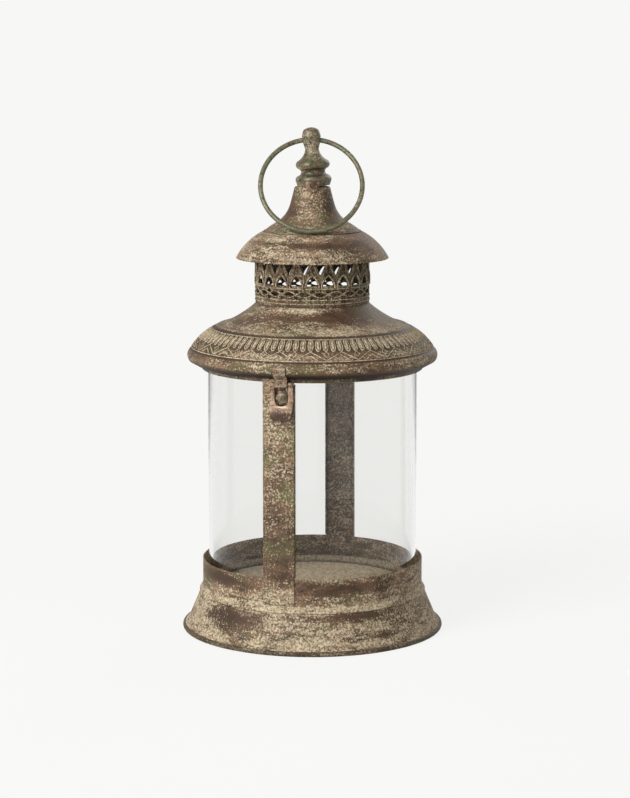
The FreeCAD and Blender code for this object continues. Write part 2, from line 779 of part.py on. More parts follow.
def hinge_lower_leaf():
    """Riveted to the rear strap, joggled out to the two outer knuckles."""
    plate_r = STRAP_OUT_R + SOLDER_GAP + SHEET / 2
    eye_r = HINGE_R - HINGE_KNUCKLE_R + SHEET / 2 + KNUCKLE_STEP
    low = HINGE_Z - LEAF_H
    line = outline(
        rz(plate_r, low),
        rz(plate_r, HINGE_Z - LEAF_JOGGLE_LOW),
        rz(eye_r, HINGE_Z - LEAF_JOGGLE_HIGH),
        rz(eye_r, HINGE_Z - SHEET),
    )
    face = Part.Face(Part.Wire(line).makeOffset2D(SHEET / 2, 0, False, False))
    leaf = slab(face, HINGE_W)
    bore_r = HINGE_PIN_R + RUNNING_GAP
    leaf = knuckle(HINGE_R, HINGE_Z, HINGE_KNUCKLE_R, bore_r, leaf, HINGE_W)
    notch_w = HINGE_MID_W + HINGE_SIDE_GAP * 2
    notch_z = HINGE_Z - LEAF_NOTCH_DROP
    notch = Part.makeBox(HINGE_R, notch_w, HINGE_R, FreeCAD.Vector(FRAME_R, -notch_w / 2, notch_z))
    leaf = leaf.cut(notch)
    high = HINGE_Z + HINGE_KNUCKLE_R + OVERRUN
    leaf = leaf.common(rounded_blank(HINGE_W, low - SHEET / 2, high, LEAF_CORNER_R))
    for across in rivet_places():
        hole = Part.makeCylinder(RIVET_R + SOLDER_GAP, STRAP_OUT_R + OVERRUN)
        leaf = leaf.cut(radial(hole, 0, rivet_z()).translated(Y_AXIS * across))
    return turn(leaf, BACK)


def hinge_pin():
    length = HINGE_W + HINGE_PIN_PROUD * 2
    return bar(HINGE_PIN_R, length, FreeCAD.Vector(0, HINGE_R, HINGE_Z), X_AXIS)


def hinge_rivets():
    """Two rivets, each with a domed head outside and a flat one inside the strap."""
    edge_y = math.sqrt(STRAP_IN_R**2 - (RIVET_SPREAD / 2 + RIVET_HEAD_R) ** 2)
    outside = STRAP_OUT_R + SHEET + SOLDER_GAP * 2
    peen_low = edge_y - SOLDER_GAP - RIVET_PEEN_T
    head_edge = rz(RIVET_HEAD_R, outside + RIVET_HEAD_T / 3)
    edges = outline(
        rz(0, peen_low),
        rz(RIVET_HEAD_R, peen_low),
        rz(RIVET_HEAD_R, peen_low + RIVET_PEEN_T),
        rz(RIVET_R, peen_low + RIVET_PEEN_T),
        rz(RIVET_R, outside),
        rz(RIVET_HEAD_R, outside),
        head_edge,
        crown(head_edge, rz(0, outside + RIVET_HEAD_T)),
        rz(0, peen_low),
    )
    rivet = turned_solid(edges)
    placed = [radial(rivet, 0, rivet_z()).translated(Y_AXIS * across) for across in rivet_places()]
    return turn(Part.makeCompound(placed), BACK)


def hasp_hanger():
    strip = rim_strip(HASP_R, HASP_Z, HANGER_KNUCKLE_R, HANGER_W, HANGER_W)
    bore_r = HASP_BAR_R + RUNNING_GAP
    return turn(knuckle(HASP_R, HASP_Z, HANGER_KNUCKLE_R, bore_r, strip, HANGER_W), LATCH_TURN)


def hasp():
    """A slotted loop on a cross bar; below the slot its lip stands out past the latch stud."""
    low = HASP_Z - HASP_H
    bend_z = HASP_Z - HASP_SLOT_H
    lip_r = HASP_R + HASP_LIP_OUT
    tip_r = HASP_R + HASP_TIP_OUT
    out_share, up_share = HASP_LIP_MID_SHARES
    line = outline(
        rz(HASP_R, HASP_Z),
        rz(HASP_R, bend_z + HASP_BEND_H),
        rz(lip_r, bend_z),
        (rz(between(lip_r, tip_r, out_share), between(bend_z, low, up_share)), rz(tip_r, low)),
    )
    face = Part.Face(Part.Wire(line).makeOffset2D(HASP_T / 2, 0, False, False))
    loop = slab(face, HASP_W)
    eyes = bar(HASP_EYE_R, HASP_W, rz(HASP_R, HASP_Z), Y_AXIS)
    loop = loop.fuse(eyes)
    loop = loop.common(rounded_blank(HASP_W, low - HASP_T / 2, STRAP_TOP, HASP_CORNER_R))
    loop = loop.cut(rounded_blank(HASP_SLOT_W, bend_z, STRAP_TOP, HASP_SLOT_CORNER_R))
    loop = loop.fuse(bar(HASP_BAR_R, HASP_W, rz(HASP_R, HASP_Z), Y_AXIS))
    return turn(loop, LATCH_TURN)


def latch_stud():
    """A broad rivet: a flat head inside the strap, a neck, and the domed button outside."""
    inside = math.sqrt(STRAP_IN_R**2 - LATCH_PEEN_R**2) - SOLDER_GAP
    outside = STRAP_OUT_R + SOLDER_GAP
    neck = outside + LATCH_NECK_H
    edge = neck + LATCH_EDGE_H
    edges = outline(
        rz(0, inside - LATCH_PEEN_T),
        rz(LATCH_PEEN_R, inside - LATCH_PEEN_T),
        rz(LATCH_PEEN_R, inside),
        rz(LATCH_SHANK_R, inside),
        rz(LATCH_SHANK_R, outside),
        rz(LATCH_NECK_R, outside),
        rz(LATCH_NECK_R, neck),
        rz(LATCH_HEAD_R, neck),
        rz(LATCH_HEAD_R, edge),
        crown(rz(LATCH_HEAD_R, edge), rz(0, edge + LATCH_DOME_H)),
        rz(0, inside - LATCH_PEEN_T),
    )
    return radial(turned_solid(edges), LATCH_TURN, LATCH_Z)


NODES = (
    foot_skirt,
    foot_edge_wire,
    base_collar,
    floor_tray,
    glass_chimney,
    front_strap,
    rear_strap,
    top_ring,
    latch_stud,
    hinge_lower_leaf,
    hinge_pin,
    hinge_rivets,
    roof_shell,
    gallery,
    hood,
    cone,
    finial,
    finial_stud,
    finial_washer,
    finial_nut,
    finial_tab,
    hinge_upper_leaf,
    hasp_hanger,
    hasp,
    carry_ring,
)

os.makedirs("parts", exist_ok=True)
for make in NODES:
    shape = make()
    shape.exportStep(os.path.join("parts", make.__name__ + ".step"))
    size = shape.optimalBoundingBox()
    print(
        make.__name__,
        "valid" if shape.isValid() else "NOT VALID",
        "solids",
        len(shape.Solids),
        "volume %.1f" % shape.Volume,
        "z %.2f to %.2f" % (size.ZMin, size.ZMax),
    )
print("ring rests at %.2f degrees" % ring_rest_deg())
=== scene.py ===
import math

import bpy
from mathutils import Matrix, Vector


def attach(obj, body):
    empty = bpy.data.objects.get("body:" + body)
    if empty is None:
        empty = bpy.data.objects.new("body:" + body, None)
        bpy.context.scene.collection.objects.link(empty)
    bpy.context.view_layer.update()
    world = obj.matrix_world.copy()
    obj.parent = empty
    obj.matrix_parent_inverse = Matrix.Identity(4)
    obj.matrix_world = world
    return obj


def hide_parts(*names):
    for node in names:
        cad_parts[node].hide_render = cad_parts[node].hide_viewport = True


bl_info = {
    "name": "Punched Tin Lantern",
    "version": (1, 0, 0),
    "blender": (4, 5, 0),
    "location": "View3D > Sidebar > Lantern",
    "description": "Dresses the CAD frame of a hinged tin lantern in its weathered finish",
    "category": "Add Mesh",
}

# The frame is in metres, with +Z up and the hasp at -Y. Sections below are in millimetres,
# as (distance from the lantern's axis, height).
MM = 0.001
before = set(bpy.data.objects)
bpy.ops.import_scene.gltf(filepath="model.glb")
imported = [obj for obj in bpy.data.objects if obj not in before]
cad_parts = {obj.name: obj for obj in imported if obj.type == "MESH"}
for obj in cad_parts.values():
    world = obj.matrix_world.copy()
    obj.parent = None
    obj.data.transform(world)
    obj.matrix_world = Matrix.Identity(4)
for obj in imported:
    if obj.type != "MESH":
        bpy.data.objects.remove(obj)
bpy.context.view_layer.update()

FRONT = -math.pi / 2
FRONT_STRAP = FRONT - math.radians(1.3)
BACK = math.pi / 2
SHEET = 0.8

# Points nearer to each other than this are one point
MERGED = MM / 500

# The foot's edge, closed round its wire: middle and radius
FOOT_EDGE = (78.9, 1.3)
FOOT_EDGE_R = 1.6

# A strap's outside, and the flanges behind it: middle as (from the axis, height), and size
STRAP_R = 68.65
STRAP_HALF_WIDE = 9.7
STRAP_ENDS = (28.0, 165.0)
STRAP_STEPS = 12
FLANGE_ASIDE = 9.3
FLANGE_MIDDLE = (66.2, 102.55)
FLANGE_SIZE = (SHEET, 2.8, 115.9)

# Ovals and zigzag of the roof: heights are shares of the band's, an oval's half width is a
# share of its pitch, and a zigzag is its foot, its peak and its share of a peak's width
OVAL_SHARE = 0.69
OVAL_HALF_TALL = 0.28
OVAL_HALF_WIDE = 0.34
OVAL_POINTS = 14
PIP = (0.95, 3.9, 0.42)
ZIGZAGS = ((0.05, 0.39, 1.0), (0.05, 0.23, 0.45))
LEAF = ((0, 0.18), (0.18, 0.28), (0, 0.39), (-0.18, 0.28))
BORDERS = ((0.99, 0.36), (0.01, 0.3))

# The gallery's wall, and how many arches stand between the one in front and the seam. Its
# pressed lines are (across, height), and where they end in the middle, that is the left half.
GALLERY_R = 34.75
GALLERY_LINE_R = GALLERY_R + 0.08
SEAM_ARCHES = 5
ARCH = [(-4.1, 213.6), (-4.1, 215.2), (-3.3, 217.5), (-1.9, 219.7), (0, 221.5)]
VEES = (
    [(-4.25, 229.4), (-2.1, 224.6), (0, 219.9)],
    [(-4.7, 228.8), (-2.35, 223.5), (0, 218.3)],
)
WAVE_UP = 209.75
WAVE_HALF = 1.75
GALLERY_LEVELS = (213.1, 206.4, 204.0)

# Solder at the cone's foot: middle, half width and half height
CONE_SOLDER = (28.9, 245.35, 0.75, 0.42)

# The finial and its ring are turned this far round from the hasp, and the finial leans. Its
# foot is at (across, height), and the hole in its ball is that far up its own axis.
FINIAL_TURN = math.radians(15.8)
FINIAL_LEAN = math.radians(3.0)
FINIAL_FOOT = (0.9, 272.663)
FINIAL_HOLE_UP = 27.483
FINIAL_HOLE_R = 2.12
FINIAL_DRILL = 16
TAB_MARK_R = 12.4
TAB_MARK = [(-1.5, 274.4), (-0.9, 272.4), (0, 271.3)]

# The carrying ring leans forwards out of the hole in the ball, and rests on the hood. Its
# middle hangs that far from the hole's, and the slit is where its wire's ends meet.
RING_LEAN = math.radians(29.56)
RING_HOLE = (-0.5384, 0, 300.108)
RING_HANG = 30.282
RING_R = 30.55
RING_WIRE_R = 1.5
RING_SLIT = math.radians(0.6)

# Each lamp's place and side, in metres. Their powers are settings.
LAMPS = {
    "key": ((-0.68, -1.35, 0.95), 0.8),
    "fill": ((1.3, -0.7, 0.7), 0.9),
    "back": ((0.5, 1.5, 0.9), 1.0),
}
LAMP_AIM = (0, 0, 0.15)

# The photograph's camera, which stands before the finial's face and looks down, and its
# focal length in pixels of a picture 798 pixels tall
CAMERA_AWAY = 1403.4
CAMERA_ASIDE = 1.6
CAMERA_HEIGHT = 360.3
CAMERA_DOWN = math.radians(8.85)
FOCAL_PIXELS = 2312
PICTURE_TALL = 798
SENSOR = 36


# Colours


def linear(code):
    """An sRGB hex colour as linear red, green and blue."""
    shares = [int(code[n : n + 2], 16) / 255 for n in (1, 3, 5)]
    return tuple(s / 12.92 if s <= 0.04045 else ((s + 0.055) / 1.055) ** 2.4 for s in shares)


def colour_setting(name, description, code):
    return bpy.props.FloatVectorProperty(
        name=name,
        description=description,
        subtype="COLOR",
        size=3,
        min=0,
        max=1,
        default=linear(code),
    )


def length_setting(name, description, millimetres):
    return bpy.props.FloatProperty(
        name=name,
        description=description,
        subtype="DISTANCE",
        unit="LENGTH",
        min=0,
        default=millimetres * MM,
    )


def strength_setting(name, description, strength):
    return bpy.props.FloatProperty(name=name, description=description, min=0, default=strength)


def count_setting(name, description, count):
    return bpy.props.IntProperty(name=name, description=description, min=6, default=count)


class LanternFinish(bpy.types.PropertyGroup):
    """Colours of the weathered finish and of the glass."""

    # Cream also paints highlights: a crest line on the roof, the front of the cone and the hasp's
    # slot.
    cream: colour_setting("Cream", "Chalky cream paint in specks", "#C3B499")
    putty: colour_setting("Putty", "The same paint where it has faded", "#85745B")
    brown: colour_setting("Brown", "Middle brown of the worn sheet", "#6B533E")
    # Umber also paints shade, in the roof's grooves and on the cone's flanks.
    umber: colour_setting("Umber", "Dark brown, in streaks and rubbed places", "#3D2D21")
    # The darkest colour is dirt in pits, and painted shade: in creases, under laps and under the
    # roof's rim, and over the foot's bead and the tab's scored mark.
    dirt_and_shade: colour_setting("Dirt", "Darkest, in creases and under laps", "#231C15")
    olive: colour_setting("Olive", "Green-brown patina", "#4F5030")
    rose: colour_setting("Rose", "Pinkish brown undercoat", "#7F5F4A")
    verdigris: colour_setting("Verdigris", "Grey-green bloom on brass", "#5C6249")
    copper: colour_setting("Copper", "Pinkish wear on the latch", "#94705C")
    glass: colour_setting("Glass", "Tint of the chimney", "#F8F8F7")


class LanternRelief(bpy.types.PropertyGroup):
    """Pressed ornament of the roof and of the gallery."""

    ovals: count_setting("Ovals", "Ovals round the roof", 96)
    peaks: count_setting("Peaks", "Zigzag peaks round the roof", 24)
    arches: count_setting("Arches", "Arches round the gallery, as punched in the CAD part", 22)
    pitch: bpy.props.FloatProperty(
        name="Pitch",
        description="Turn from one arch to the next",
        subtype="ANGLE",
        unit="ROTATION",
        default=math.radians(16),
    )
    ridge: length_setting("Ridge", "Half the width of a pressed line", 0.34)
    rim: length_setting("Rim", "Half the width of an oval's raised rim", 0.42)


class LanternStage(bpy.types.PropertyGroup):
    """Floor, lamps and camera."""

    floor: length_setting("Floor", "Side of the floor", 9000)
    backdrop: colour_setting("Backdrop", "Colour that is seen behind the lantern", "#F7F7F6")
    key: strength_setting("Key", "Power of the large lamp on the left", 37)
    fill: strength_setting("Fill", "Power of the lamp on the right", 1.2)
    back: strength_setting("Back", "Power of the soft lamp behind", 9)
    sky: strength_setting("Sky", "Strength of the even light", 0.32)


def finish():
    return bpy.context.scene.lantern_finish


def relief():
    return bpy.context.scene.lantern_relief


# Modelling helpers


def deselect():
    if bpy.context.mode != "OBJECT":
        bpy.ops.object.mode_set(mode="OBJECT")
    bpy.ops.object.select_all(action="DESELECT")


def only(piece):
    deselect()
    piece.select_set(True)
    bpy.context.view_layer.objects.active = piece


def edit(piece):
    only(piece)
    bpy.ops.object.mode_set(mode="EDIT")
    bpy.ops.mesh.select_all(action="SELECT")


def modify(piece, kind, **values):
    """Adds a modifier, sets it and applies it."""
    only(piece)
    bpy.ops.object.modifier_add(type=kind)
    modifier = piece.modifiers[-1]
    for name, value in values.items():
        setattr(modifier, name, value)
    bpy.ops.object.modifier_apply(modifier=modifier.name)


def joined(name, pieces):
    deselect()
    for piece in pieces:
        piece.select_set(True)
    bpy.context.view_layer.objects.active = pieces[0]
    if len(pieces) > 1:
        bpy.ops.object.join()
    piece = bpy.context.object
    piece.name = name
    return piece


def placed(piece, matrix):
    """Puts a piece in its place, which goes into its mesh."""
    only(piece)
    piece.matrix_world = matrix @ piece.matrix_world
    bpy.ops.object.transform_apply(location=True, rotation=True, scale=True)
    return piece


def arc(start, via, end, count=8):
    """Points after start, on the circle through three points, up to end."""
    (ax, ay), (bx, by), (cx, cy) = start, via, end
    d = 2 * (ax * (by - cy) + bx * (cy - ay) + cx * (ay - by))
    a2, b2, c2 = ax * ax + ay * ay, bx * bx + by * by, cx * cx + cy * cy
    ux = (a2 * (by - cy) + b2 * (cy - ay) + c2 * (ay - by)) / d
    uy = (a2 * (cx - bx) + b2 * (ax - cx) + c2 * (bx - ax)) / d
    first, middle, last = (math.atan2(y - uy, x - ux) for x, y in (start, via, end))
    sweep = (last - first) % math.tau
    if (middle - first) % math.tau > sweep:
        sweep -= math.tau
    radius = math.hypot(ax - ux, ay - uy)
    angles = [first + sweep * n / count for n in range(1, count + 1)]
    return [(ux + radius * math.cos(t), uy + radius * math.sin(t)) for t in angles]


def outline(start, *legs):
    """Points of a section; a leg is a point, or (via, end) of an arc."""
    points = [start]
    for leg in legs:
        points += arc(points[-1], *leg) if isinstance(leg[0], tuple) else [leg]
    return points


def drawn(points):
    """Starts a mesh in edit mode: one vertex, extruded along the points."""
    deselect()
    bpy.ops.mesh.primitive_plane_add(size=MM)
    bpy.ops.object.mode_set(mode="EDIT")
    bpy.ops.mesh.merge(type="CENTER")
    bpy.ops.transform.translate(value=points[0])
    for here, there in zip(points, points[1:]):
        bpy.ops.mesh.extrude_vertices_move(TRANSFORM_OT_translate={"value": there - here})
    bpy.ops.mesh.select_all(action="SELECT")


def turned(name, section, wall=0.0, steps=192, begin=0.0, sweep=math.tau):
    """Spins a section about the lantern's axis. With a wall it is a sheet's outside."""
    start = Vector((math.cos(begin), math.sin(begin), 0))
    drawn([start * r * MM + Vector((0, 0, z * MM)) for r, z in section])
    bpy.ops.mesh.spin(steps=steps, angle=sweep, center=(0, 0, 0), axis=(0, 0, 1))
    bpy.ops.mesh.select_all(action="SELECT")
    bpy.ops.mesh.remove_doubles(threshold=MERGED)
    bpy.ops.mesh.normals_make_consistent(inside=False)
    bpy.ops.object.mode_set(mode="OBJECT")
    piece = joined(name, [bpy.context.object])
    if wall:
        modify(piece, "SOLIDIFY", thickness=wall * MM, offset=-1, use_even_offset=True)
    return piece


def repeated(piece, count, pitch=None):
    """Copies a piece clockwise round the lantern's axis, all in one mesh."""
    edit(piece)
    pitch = pitch or math.tau / count
    bpy.ops.mesh.spin(
        steps=count - 1,
        dupli=True,
        angle=pitch * (count - 1),
        use_auto_merge=False,
        center=(0, 0, 0),
        axis=(0, 0, 1),
    )
    bpy.ops.object.mode_set(mode="OBJECT")
    return piece


def bead(name, points, radius, closed=False):
    """A pressed line or a wire along points, in metres."""
    line = bpy.data.curves.new(name, "CURVE")
    line.dimensions = "3D"
    line.bevel_depth = radius
    line.bevel_resolution = 1
    line.use_fill_caps = not closed
    spline = line.splines.new("POLY")
    spline.points.add(len(points) - 1)
    for point, place in zip(spline.points, points):
        point.co = (*place, 1)
    spline.use_cyclic_u = closed
    piece = bpy.data.objects.new(name, line)
    bpy.context.collection.objects.link(piece)
    only(piece)
    bpy.ops.object.convert(target="MESH")
    return bpy.context.object


def on_wall(around, begin, marks):
    """Marks of (millimetres across, height) on a round wall, as points in metres."""
    turns = [(begin + across / around, height) for across, height in marks]
    return [Vector((around * math.cos(t), around * math.sin(t), z)) * MM for t, z in turns]


def mirrored(marks):
    """A left half of (across, height) marks, with its right half after the middle one."""
    return marks + [(-across, height) for across, height in reversed(marks[:-1])]


def broken(piece, width, degrees=50):
    """Rounds a piece's sharp edges, width in millimetres."""
    modify(
        piece, "BEVEL", width=width * MM, segments=2, limit_method="ANGLE",
        angle_limit=math.radians(degrees), harden_normals=False, use_clamp_overlap=True,
    )
    return piece


def wire_section(radius, height, half_wide, half_tall, count=16):
    """A closed round or oval section."""
    turns = [math.tau * n / count for n in range(count + 1)]
    return [(radius + half_wide * math.cos(t), height + half_tall * math.sin(t)) for t in turns]


def smooth(piece, degrees=38):
    only(piece)
    bpy.ops.object.shade_smooth_by_angle(angle=math.radians(degrees))
    return piece


def dress(piece, body, slot, surface, *nodes):
    """Gives a finished piece its finish and its body, and hides the CAD nodes that it stands for.
    Its slot is not used.
    """
    piece.data.materials.clear()
    piece.data.materials.append(material_of(surface))
    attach(piece, body)
    if nodes:
        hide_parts(*nodes)
    return piece


def softened(node, width=0.15, degrees=30):
    """A copy of a CAD node with its triangles merged and its edges broken."""
    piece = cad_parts[node].copy()
    piece.data = piece.data.copy()
    for key in [k for k in piece.keys() if k.startswith("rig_")]:
        del piece[key]
    piece.parent = None
    bpy.context.collection.objects.link(piece)
    piece.name = node + "_dressed"
    edit(piece)
    bpy.ops.mesh.remove_doubles(threshold=MERGED)
    bpy.ops.mesh.dissolve_limited(angle_limit=math.radians(0.5))
    bpy.ops.object.mode_set(mode="OBJECT")
    if width:
        broken(piece, width, degrees)
    return smooth(piece)


def on_finial(piece):
    """From the finial's own axis, base at the origin, to its leaning place on the cone."""
    shift = Matrix.Translation((FINIAL_FOOT[0] * MM, 0, FINIAL_FOOT[1] * MM))
    lean = Matrix.Rotation(-FINIAL_LEAN, 4, "Y")
    return placed(piece, Matrix.Rotation(FINIAL_TURN, 4, "Z") @ shift @ lean)


# Materials


def add(tree, kind, options=None, inputs=None):
    """A node with its options, and its inputs set to values or linked from sockets."""
    node = tree.nodes.new("ShaderNode" + kind)
    for name, value in (options or {}).items():
        setattr(node, name, value)
    for name, value in (inputs or {}).items():
        socket = node.inputs[name]
        if isinstance(value, bpy.types.NodeSocket):
            tree.links.new(value, socket)
        elif socket.type == "RGBA":
            socket.default_value = (*value[:3], 1)
        else:
            socket.default_value = value
    return node


# A mix of two colours, and a range with soft ends
COLOURS = {"data_type": "RGBA"}
SOFT = {"interpolation_type": "SMOOTHSTEP"}

# How far a finish stands up or sinks in, in millimetres
UNEVEN = 0.15


def bare(name, metallic=0.0, gloss=0.5):
    """A new material, with the shader that its finish goes on."""
    material = bpy.data.materials.new(name)
    material.use_nodes = True
    tree = material.node_tree
    tree.nodes.clear()
    settings = {"Metallic": metallic, "Specular IOR Level": gloss}
    shader = add(tree, "BsdfPrincipled", None, settings)
    add(tree, "OutputMaterial", None, {"Surface": shader.outputs[0]})
    return material, tree, shader, add(tree, "TexCoord").outputs["Object"]


def patches(tree, place, millimetres, low, high, most=1.0, streak=1.0, shift=0.0):
    """Cloudy patches of that size, from 0 to most. A streak over 1 draws them out level."""
    drawn_out = {"Vector": place, "Scale": (1, 1, streak), "Location": (shift,) * 3}
    moved = add(tree, "Mapping", None, drawn_out).outputs[0]
    size = {"Vector": moved, "Scale": 1 / (millimetres * MM), "Detail": 5, "Roughness": 0.62}
    cloud = add(tree, "TexNoise", None, size).outputs[0]
    limits = {"Value": cloud, "From Min": low, "From Max": high, "To Max": most}
    return add(tree, "MapRange", SOFT, limits).outputs[0]


def wear_and_light_spots(tree, place, spots):
    """Spots of worn paint, and of painted shade and painted highlights: a spot darkens the
    surface, and lightens it where its amount is under 0. Each spot is its middle and its reach
    along X, Y and Z, in millimetres, and its amount."""
    total = 0.0
    for middle, reach, amount in spots:
        start = [-at / half for at, half in zip(middle, reach)]
        scale = [1 / (half * MM) for half in reach]
        near = add(tree, "Mapping", None, {"Vector": place, "Location": start, "Scale": scale})
        away = add(tree, "VectorMath", {"operation": "LENGTH"}, {0: near.outputs[0]})
        away = away.outputs["Value"]
        limits = {"Value": away, "From Min": 1.5, "From Max": 0.2, "To Max": amount}
        soft = add(tree, "MapRange", SOFT, limits).outputs[0]
        total = add(tree, "Math", None, {0: soft, 1: total}).outputs[0]
    return total


def stipple(tree, place, cover, spot_darkening, shift, grain=1.1, clump=0.5):
    """Sponged chalk paint, from 0 to 1: specks of about half the grain, in millimetres, that
    crowd in level streaks of 36 and 10 mm and thin out between them. Cover is about the share
    of the surface that they hide, and clump is how far they crowd."""
    moved = add(tree, "Mapping", None, {"Vector": place, "Location": (shift,) * 3}).outputs[0]
    size = {"Vector": moved, "Scale": 1 / (grain * MM), "Detail": 3, "Roughness": 0.8}
    speck = add(tree, "TexNoise", None, size).outputs[0]
    wide = patches(tree, place, 36, 0.25, 0.75, most=0.34 * clump, streak=2.6, shift=shift)
    near = patches(tree, place, 10, 0.25, 0.75, most=0.36 * clump, streak=4.5, shift=shift + 5)
    crowd = add(tree, "Math", None, {0: wide, 1: near}).outputs[0]
    level = add(tree, "Math", None, {0: speck, 1: crowd}).outputs[0]
    # A spot over 0 thins the specks, and one under 0 crowds them, which also paints highlights.
    thinned_by_spots = {0: spot_darkening, 1: -0.2, 2: level}
    left = add(tree, "Math", {"operation": "MULTIPLY_ADD"}, thinned_by_spots).outputs[0]
    middle = 0.5 + 0.35 * clump + (0.5 - cover) * 0.4
    limits = {"Value": left, "From Min": middle - 0.07, "From Max": middle + 0.07}
    return add(tree, "MapRange", SOFT, limits).outputs[0]


def grime_and_shade(tree, millimetres, local=True, low=0.35, high=0.95):
    """0 deep in a crease or under a lap, 1 on open surface. The dark it gives is dirt there, and
    painted shade.
    """
    options = {"samples": 6, "only_local": local}
    shade = add(tree, "AmbientOcclusion", options, {"Distance": millimetres * MM})
    limits = {"Value": shade.outputs["AO"], "From Min": low, "From Max": high}
    return add(tree, "MapRange", None, limits).outputs[0]


def laid_on(tree, shader, coat, clean_and_lit, matt, gloss_range, height, strength=0.4):
    """Lays a coat on the shader, with dirt and painted shade where it isn't clean and lit, in
    creases and under laps. Its roughness goes up that range where it is matt, and the height is
    felt as an uneven surface."""
    coat = add(tree, "Mix", COLOURS, {0: clean_and_lit, 6: finish().dirt_and_shade, 7: coat}).outputs[2]
    limits = {"Value": matt, "To Min": gloss_range[0], "To Max": gloss_range[1]}
    rough = add(tree, "MapRange", None, limits).outputs[0]
    bump = {"Strength": strength, "Distance": UNEVEN * MM, "Height": height}
    normal = add(tree, "Bump", None, bump).outputs[0]
    for name, value in (("Base Color", coat), ("Roughness", rough), ("Normal", normal)):
        tree.links.new(value, shader.inputs[name])


def weathered(
    name, cover, rose=0.3, olive=0.3, dull=0.0, spots=(), shift=0.0, clump=0.5, local=True
):
    """Tinplate with a sponged paint finish, aged by hand: chalky cream specks over streaky
    browns, with rose undercoat, olive patina, and dirt and painted shade in its creases. It is
    matt, and a little less so where the brown is rubbed bare."""
    wear = finish()
    material, tree, shader, place = bare(name, gloss=0.2)
    spot_darkening = wear_and_light_spots(tree, place, spots)
    chalk = stipple(tree, place, cover, spot_darkening, shift, clump=clump)
    streaks = patches(tree, place, 13, 0.36, 0.66, streak=2.5, shift=shift + 3)
    pits = patches(tree, place, 1.6, 0.5, 0.38, most=0.85, shift=shift + 2)
    pink = patches(tree, place, 17, 0.44, 0.66, most=rose, streak=1.6, shift=shift + 7)
    green = patches(tree, place, 21, 0.46, 0.66, most=olive, streak=1.4, shift=shift + 11)
    # Past 0.9 a spot goes on to the darkest colour: under the roof's rim this is painted shadow.
    darkest_limits = {"Value": spot_darkening, "From Min": 0.9, "From Max": 1.5}
    darkest_spots = add(tree, "MapRange", None, darkest_limits).outputs[0]
    # Spots darken the ground to umber: worn places, and painted shade in the roof's grooves and on
    # the cone's flanks.
    ground = wear.umber
    for share, colour in (
        (streaks, wear.brown),
        (pits, wear.dirt_and_shade),
        (pink, wear.rose),
        (green, wear.olive),
        (spot_darkening, wear.umber),
        (darkest_spots, wear.dirt_and_shade),
    ):
        ground = add(tree, "Mix", COLOURS, {0: share, 6: ground, 7: colour}).outputs[2]
    faded = patches(tree, place, 1.5, 0.36, 0.62, shift=shift + 13)
    paint = add(tree, "Mix", COLOURS, {0: faded, 6: wear.putty, 7: wear.cream}).outputs[2]
    thin = add(tree, "Math", {"operation": "MULTIPLY"}, {0: chalk, 1: 0.92}).outputs[0]
    coat = add(tree, "Mix", COLOURS, {0: thin, 6: ground, 7: paint}).outputs[2]
    # This darkens the whole coat towards the darkest colour; on the foot's bead and the tab's
    # scored mark it is painted shade.
    coat = add(tree, "Mix", COLOURS, {0: dull, 6: coat, 7: wear.dirt_and_shade}).outputs[2]
    height = add(tree, "Math", None, {0: chalk, 1: streaks}).outputs[0]
    # Darker in creases and under laps, and near other pieces where it isn't local: dirt, and
    # painted shade.
    laid_on(tree, shader, coat, grime_and_shade(tree, 2.6, local), chalk, (0.58, 0.85), height, 0.45)
    return material


def patinated_brass(name, green=0.5, pale=0.3, shift=0.0):
    """Brass, cast and turned or drawn, dipped to a dull grey-green patina, with brown left in its
    hollows, where it is also painted shade, and chalky specks on it. Some metal still shows
    through in its gloss."""
    wear = finish()
    material, tree, shader, place = bare(name, metallic=0.3, gloss=0.45)
    cloud = patches(tree, place, 3.5, 0.36, 0.64, streak=1.4, shift=shift)
    brownish = patches(tree, place, 5, 0.42, 0.6, most=0.75, streak=1.4, shift=shift + 4)
    pits = patches(tree, place, 1.5, 0.5, 0.4, most=0.85, shift=shift + 2)
    low, high = 0.5 - green * 0.3, 0.72 - green * 0.3
    bloom = patches(tree, place, 2.5, low, high, most=0.7, shift=shift + 6)
    chalk = stipple(tree, place, pale, 0.0, shift + 9, grain=1.0)
    thin = add(tree, "Math", {"operation": "MULTIPLY"}, {0: chalk, 1: 0.6}).outputs[0]
    coat = wear.umber
    for share, colour in (
        (cloud, wear.olive),
        (brownish, wear.brown),
        (pits, wear.dirt_and_shade),
        (bloom, wear.verdigris),
        (thin, wear.cream),
    ):
        coat = add(tree, "Mix", COLOURS, {0: share, 6: coat, 7: colour}).outputs[2]
    # Darker in hollows such as the finial's waists: patina there, and painted shade.
    clean_and_lit = grime_and_shade(tree, 4.5, low=0.35, high=0.9)
    laid_on(tree, shader, coat, clean_and_lit, chalk, (0.45, 0.8), cloud)
    return material


